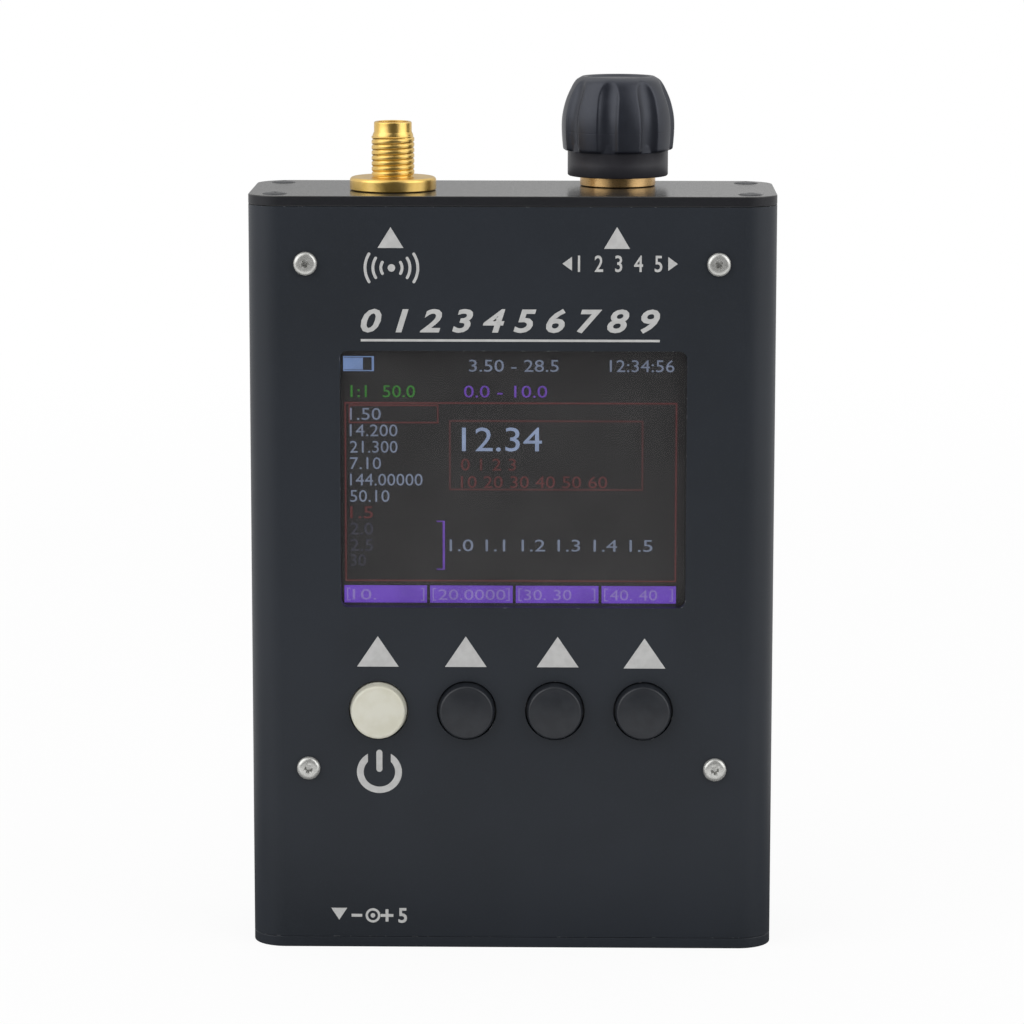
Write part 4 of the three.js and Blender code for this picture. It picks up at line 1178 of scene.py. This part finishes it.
printTriangles = {
    "printOverJack": [(-19.58, 104.96), (-15.81, 104.96), (-17.69, 108.01)],
    "printOverKnob": [(13.4, 104.91), (17.18, 104.91), (15.29, 108.1)],
    "printOverPower": [(-22.88, 42.78), (-16.72, 42.78), (-19.8, 47.37)],
    "printOverKey1": [(-9.87, 42.78), (-3.7, 42.78), (-6.78, 47.37)],
    "printOverKey2": [(3.71, 42.78), (9.9, 42.78), (6.8, 47.37)],
    "printOverKey3": [(16.55, 42.65), (22.74, 42.65), (19.64, 47.18)],
    "printOverCharger": [(-26.93, 5.99), (-25.74, 4.16), (-24.55, 5.99)],
}


def placePrint(mark):
    place = (0, faceY - printSettings["thick"] * mm / 2, 0)
    return dress(coat(moved(mark, place, faceTurn), printInk), "case")


def makePrints():
    settings = printSettings
    thick = settings["thick"]
    for name, outline in printTriangles.items():
        placePrint(flatMark(name, [outline], thick))

    centre, half, thin = take(settings, "power", "powerGap", "barHalf")
    outer, inner = settings["powerRadii"]
    start, stop = (math.degrees(math.acos(half / radius)) for radius in (outer, inner))
    ring = arc(centre, outer, 180 - start, 360 + start, 60) + arc(centre, inner, 360 + stop, 180 - stop, 60)
    ring = [(x, centre[1] + (y - centre[1]) * settings["powerSquash"]) for x, y in ring]
    low, high = ((centre[0], end) for end in settings["barEnds"])
    bar = arc(high, thin, 0, 180, 10) + arc(low, thin, 180, 360, 10)
    placePrint(joined("printPower", [flatMark("ring", [ring], thick), flatMark("bar", [bar], thick)]))

    centre, width, span = take(settings, "waves", "waveWidth", "waveSpan")
    marks = [flatMark("dot", [circle(centre, settings["waveDot"], 24)], thick)]
    for radius in settings["waveRadii"]:
        for turn in (0, 180):
            marks.append(flatMark("wave", [arcStroke(centre, radius, width, turn - span, turn + span, 16)], thick))
    placePrint(joined("printWaves", marks))

    marks = [numbers("scale", "1  2  3  4  5", settings["turns"], thick, thicken=0.01)]
    marks += [flatMark(name, [settings[name]], thick) for name in ("turnLeft", "turnRight")]
    placePrint(joined("printTurns", marks))

    marks = [numbers("scale", "0 1 2 3 4 5 6 7 8 9", settings["scale"], thick, slant=0.25, thicken=0.025)]
    marks += [flatMark("line", [rectangle(settings["scaleLine"])], thick)]
    placePrint(joined("printScale", marks))

    centre, (outer, inner, dot) = take(settings, "inlet", "inletRadii")
    marks = [numbers("volts", "5", settings["volts"], thick, thicken=0.02)]
    marks += [flatMark("plus", [plusOutline(settings["plus"], *settings["plusArms"])], thick)]
    marks += [flatMark("minus", [rectangle(settings["minus"])], thick)]
    marks += [flatMark("ring", [circle(centre, outer, 32), circle(centre, inner, 32, 360, 0)], thick)]
    marks += [flatMark("dot", [circle(centre, dot, 16)], thick)]
    placePrint(joined("printPolarity", marks))


makePrints()
print("prints ready")


# Picture on the display, drawn in the dots of a 320 by 240 panel that counts down from its upper left corner

pictureSettings = {
    "dot": 0.153,
    "left": -24.68,
    "top": 88.835,
    "thick": 0.01,
    "lift": 0.02,
    "layer": 0.02,
    "taller": 0.3,  # share by which the numbers are taller than their boxes
    "bracketArm": 1,  # thickness of a bracket's arms, in dots
}
pictureColours = {
    "Blue": (0.3, 0.38, 0.57),
    "Pale": (0.215, 0.255, 0.36),
    "Cell": (0.2, 0.3, 0.56),
    "Red": (0.115, 0.022, 0.022),
    "Dim": (0.085, 0.022, 0.022),
    "Glow": (0.022, 0.02, 0.036),
    "Green": (0.028, 0.22, 0.018),
    "Violet": (0.16, 0.06, 0.46),
    "Keys": (0.17, 0.067, 0.57),
    "KeyText": (0.28, 0.2, 0.58),
    "Grey": (0.036, 0.038, 0.06),
    "Dark": (0.01, 0.01, 0.012),
}
pictureRows = [  # with their left, top, right and bottom in dots
    ("Pale", "3.50 - 28.5", (120, 5, 206, 14)),
    ("Pale", "12:34:56", (255, 5, 317, 14)),
    ("Green", "1:1  50.0", (6, 30, 68, 39)),
    ("Violet", "0.0 - 10.0", (115, 30, 195, 39)),
    ("Pale", "1.50", (5, 52, 35, 61)),
    ("Pale", "14.200", (5, 68, 51, 77)),
    ("Pale", "21.300", (5, 84, 51, 93)),
    ("Pale", "7.10", (5, 100, 35, 109)),
    ("Pale", "144.00000", (5, 116, 75, 125)),
    ("Pale", "50.10", (5, 132, 43, 141)),
    ("Red", "1.5", (5, 148, 27, 157)),
    ("Grey", "2.0", (5, 164, 27, 173)),
    ("Grey", "2.5", (5, 180, 27, 189)),
    ("Grey", "30", (5, 195, 20, 204)),
    ("Blue", "12.34", (113, 72, 190, 90)),
    ("Red", "0 1 2 3", (112, 101, 165, 110)),
    ("Red", "10 20 30 40 50 60", (112, 118, 253, 127)),
    ("Pale", "1.0 1.1 1.2 1.3 1.4 1.5", (101, 180, 297, 189)),
    ("KeyText", "10.", (7, 229, 30, 237)),
    ("KeyText", "20.0000", (90, 229, 155, 237)),
    ("KeyText", "30. 30", (173, 229, 219, 237)),
    ("KeyText", "40. 40", (256, 229, 302, 237)),
]
pictureBrackets = [("Violet", (88.5, 160.5, 96.5, 208.5), 2.2)]  # end of the arms, top, back, bottom; width
for left, right in ((5, 73), (88, 155.5), (171, 238.5), (254, 313.5)):
    pictureBrackets += [("KeyText", (tip, 226.5, tip + way, 239), 1.2) for tip, way in ((left, -3.5), (right, 3.5))]
pictureFrames = [  # with the widths of their left, low, right and top sides
    ("Red", (0, 45, 320, 220), (1.5, 1.5, 1.5, 1.5)),
    ("Red", (4, 47.3, 90.5, 65.5), (1.4, 1.4, 1.4, 1.4)),
    ("Dim", (100.6, 62.3, 287.6, 130.6), (1.6, 1.6, 1.6, 1.6)),
    ("Cell", (-1, 0.5, 28.6, 15), (1, 1, 2.2, 1)),
]
pictureFills = [("Keys", (left, 224, right, 241)) for left, right in ((-1, 79), (82, 162), (165, 245), (248, 320))]
pictureFills += [("Cell", (-0.5, 2, 18, 13.5)), ("Dark", (18, 2, 26, 13.5)), ("Glow", (-1, 241.4, 320, 245))]


def panelBox(box):  # from left, top, right and bottom in dots to a box in millimetres on the front
    dot, left, top = take(pictureSettings, "dot", "left", "top")
    return left + box[0] * dot, top - box[3] * dot, left + box[2] * dot, top - box[1] * dot


def makePicture():
    settings = pictureSettings
    thick, dot, arm = take(settings, "thick", "dot", "bracketArm")
    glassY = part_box("display_glass")[0].y
    layers = {name: [] for name in pictureColours}
    for colour, box in pictureFills:
        layers[colour].append(flatMark("fill", [rectangle(panelBox(box))], thick))
    for colour, box, wide in pictureFrames:
        outer = panelBox(box)
        inner = [outer[i] + wide[i] * dot for i in (0, 1)] + [outer[i] - wide[i] * dot for i in (2, 3)]
        layers[colour].append(flatMark("frame", [rectangle(outer), rectangle(inner)[::-1]], thick))
    for colour, body, (left, top, right, bottom) in pictureRows:
        taller = settings["taller"] * (bottom - top) / 2
        layers[colour].append(numbers("row", body, panelBox((left, top - taller, right, bottom + taller)), thick))
    for colour, (tip, top, back, bottom), wide in pictureBrackets:
        inside = back - math.copysign(wide, back - tip)
        corners = [(tip, top), (back, top), (back, bottom), (tip, bottom)]
        corners += [(tip, bottom - arm), (inside, bottom - arm), (inside, top + arm), (tip, top + arm)]
        outline = [panelBox((x, y, x, y))[:2] for x, y in corners]
        layers[colour].append(flatMark("bracket", [outline], thick))
    for name, pieces in layers.items():
        layer = 2 if name == "KeyText" else 1  # the keys' numbers lie over their fills
        place = (0, glassY - (settings["lift"] + layer * settings["layer"]) * mm, 0)
        piece = moved(joined("picture" + name, pieces), place, faceTurn)
        dress(coat(piece, litFinish("lit" + name, pictureColours[name])), "case")


makePicture()
print("display ready")


# Camera, as fitted to the photograph

cameraSettings = {
    "place": (0.01014, -0.63002, 0.16851),  # metres
    "turn": -0.939,  # degrees
    "down": 9.435,
    "roll": 0.047,
    "lens": 149.43,
    "sensor": 36,
    "clip": (0.01, 60),  # metres
}


def makeCamera():
    settings = cameraSettings
    turn, down, roll = (math.radians(angle) for angle in take(settings, "turn", "down", "roll"))
    ahead = Vector((math.sin(turn) * math.cos(down), math.cos(turn) * math.cos(down), -math.sin(down)))
    right = Vector((math.cos(turn), -math.sin(turn), 0))
    up = right.cross(ahead)
    rolledRight = math.cos(roll) * right + math.sin(roll) * up
    rolledUp = math.cos(roll) * up - math.sin(roll) * right
    data = bpy.data.cameras.new("camera")
    data.sensor_width, data.lens = settings["sensor"], settings["lens"]
    data.clip_start, data.clip_end = settings["clip"]
    camera = bpy.data.objects.new("camera", data)
    bpy.context.scene.collection.objects.link(camera)
    turned = Matrix((rolledRight, rolledUp, -ahead)).transposed().to_4x4()
    camera.matrix_world = Matrix.Translation(settings["place"]) @ turned
    bpy.context.scene.camera = camera


# Studio: white surroundings that darken towards the front for reflections, and soft lamps

studioSettings = {
    "ambient": 0.5,  # level for diffuse light
    "surround": 0.92,  # level in reflections, beside and above the object
    "frontShade": 0.1,  # level in reflections of the dark room in front
    "frontStart": 0.63,  # cosines of the angles from straight ahead at which it starts and is whole
    "frontEnd": 0.8,
    "frontApex": 0.15,  # on the floor, the dark cone starts this far behind the object
    "frontPatch": 1.08,  # level of the floor in reflections a little way in front of the object
    "frontNear": (-0.02, -0.07),  # the patch begins and is whole
    "frontFar": (-0.11, -0.42),  # it fades again
    "ceilingShade": 0.4,  # level in reflections of the ceiling
    "ceilingStart": 0.72,  # sines of the height angles at which it starts and is whole
    "ceilingEnd": 0.93,
    "backShade": 0.56,  # level in reflections of the backdrop, at its left and right
    "backShadeRight": 0.7,
    "backLeft": -0.1,
    "backRight": 0.06,
    "backStart": 0.75,
    "backEnd": 0.93,
    "floorSize": 20.0,
    "floorColour": 0.8,
    "floorRough": 0.9,
    "floorGlow": 0.92,  # share of its own light, near the object and far away
    "floorGlowFar": 1.0,
    "floorNear": 0.2,
    "floorFar": 0.7,
}
lampSettings = {  # place, size and strength of each soft lamp, which looks at the middle of the case
    "keyLamp": ((-0.85, -0.55, 0.75), 1.4, 8.5),
    "fillLamp": ((0.95, -0.45, 0.65), 1.2, 5.8),
    "topLamp": ((0.0, 0.1, 1.1), 1.2, 3.8),
}


def darkRoom(tree, way):  # level in reflections of what lies this way: dark ahead, pale beside and behind
    settings = studioSettings
    ahead = vectorMaths(tree, "DOT_PRODUCT", vectorMaths(tree, "NORMALIZE", way), (0, -1, 0))
    return ramp(tree, ahead, *take(settings, "frontStart", "frontEnd", "surround", "frontShade"))


def makeWorld():
    settings = studioSettings
    world = bpy.data.worlds.new("studio")
    bpy.context.scene.world = world
    world.use_nodes = True
    tree = world.node_tree
    background = tree.nodes["Background"]
    background.inputs["Color"].default_value = (1, 1, 1, 1)
    path = tree.nodes.new("ShaderNodeLightPath").outputs
    way = tree.nodes.new("ShaderNodeTexCoord").outputs["Generated"]
    parts = partsOf(tree, way)
    room = darkRoom(tree, vectorMaths(tree, "MULTIPLY", way, (1, 1, 0)))
    shade = ramp(tree, parts["X"], settings["backLeft"], settings["backRight"],
                 settings["backShade"] / settings["surround"], settings["backShadeRight"] / settings["surround"])
    front = vectorMaths(tree, "DOT_PRODUCT", way, (0, -1, 0))
    towardsBack = ramp(tree, front, -settings["backEnd"], -settings["backStart"], 0, 1)
    backdrop = mixed(tree, towardsBack, shade, 1.0)
    ceiling = ramp(tree, parts["Z"], settings["ceilingStart"], settings["ceilingEnd"], 1, settings["ceilingShade"])
    reflected = maths(tree, "MULTIPLY", maths(tree, "MULTIPLY", room, backdrop), ceiling)
    lit = mixed(tree, path["Is Glossy Ray"], settings["ambient"], reflected)
    seen = maths(tree, "MAXIMUM", path["Is Camera Ray"], path["Is Transmission Ray"])
    tree.links.new(mixed(tree, seen, lit, 1.0), background.inputs["Strength"])


def makeFloor():
    settings = studioSettings
    letGo()
    bpy.ops.mesh.primitive_plane_add(size=settings["floorSize"], location=(0, 0, 0))
    floor = bpy.context.object
    floor.name = "floor"
    material = bpy.data.materials.new("paleFloor")
    material.use_nodes = True
    tree = material.node_tree
    shader = tree.nodes["Principled BSDF"]
    pale = settings["floorColour"]
    shader.inputs["Base Color"].default_value = (pale, pale, pale, 1)
    shader.inputs["Roughness"].default_value = settings["floorRough"]
    shader.inputs["Specular IOR Level"].default_value = 0.0
    place = tree.nodes.new("ShaderNodeTexCoord").outputs["Object"]
    path = tree.nodes.new("ShaderNodeLightPath").outputs
    distance = vectorMaths(tree, "LENGTH", place)
    share = ramp(tree, distance, *take(settings, "floorNear", "floorFar", "floorGlow", "floorGlowFar"))
    room = darkRoom(tree, vectorMaths(tree, "SUBTRACT", place, (0, settings["frontApex"], 0)))
    along, near, far = partsOf(tree, place)["Y"], settings["frontNear"], settings["frontFar"]
    patch = ramp(tree, along, near[1], near[0], settings["frontPatch"], 0)
    fading = ramp(tree, along, far[1], far[0], 0, 1)
    reflected = maths(tree, "MAXIMUM", room, maths(tree, "MULTIPLY", patch, fading))
    glow = tree.nodes.new("ShaderNodeEmission")
    tree.links.new(mixed(tree, path["Is Glossy Ray"], 1.0, reflected), glow.inputs["Strength"])
    seen = maths(tree, "MAXIMUM", path["Is Camera Ray"], path["Is Glossy Ray"])
    mix = tree.nodes.new("ShaderNodeMixShader")
    tree.links.new(maths(tree, "MULTIPLY", seen, share), mix.inputs[0])
    tree.links.new(shader.outputs[0], mix.inputs[1])
    tree.links.new(glow.outputs[0], mix.inputs[2])
    tree.links.new(mix.outputs[0], tree.nodes["Material Output"].inputs["Surface"])
    floor.data.materials.append(material)


def makeLamps():
    target = (cadLow + cadHigh) / 2
    for name, (place, size, strength) in lampSettings.items():
        data = bpy.data.lights.new(name, "AREA")
        data.shape, data.size, data.energy = "SQUARE", size, strength
        lamp = bpy.data.objects.new(name, data)
        bpy.context.scene.collection.objects.link(lamp)
        lamp.location = place
        lamp.rotation_euler = (Vector(place) - target).to_track_quat("Z", "Y").to_euler()


makeCamera()
makeWorld()
makeFloor()
makeLamps()
bpy.context.scene.view_settings.view_transform = "Standard"
print("studio ready")
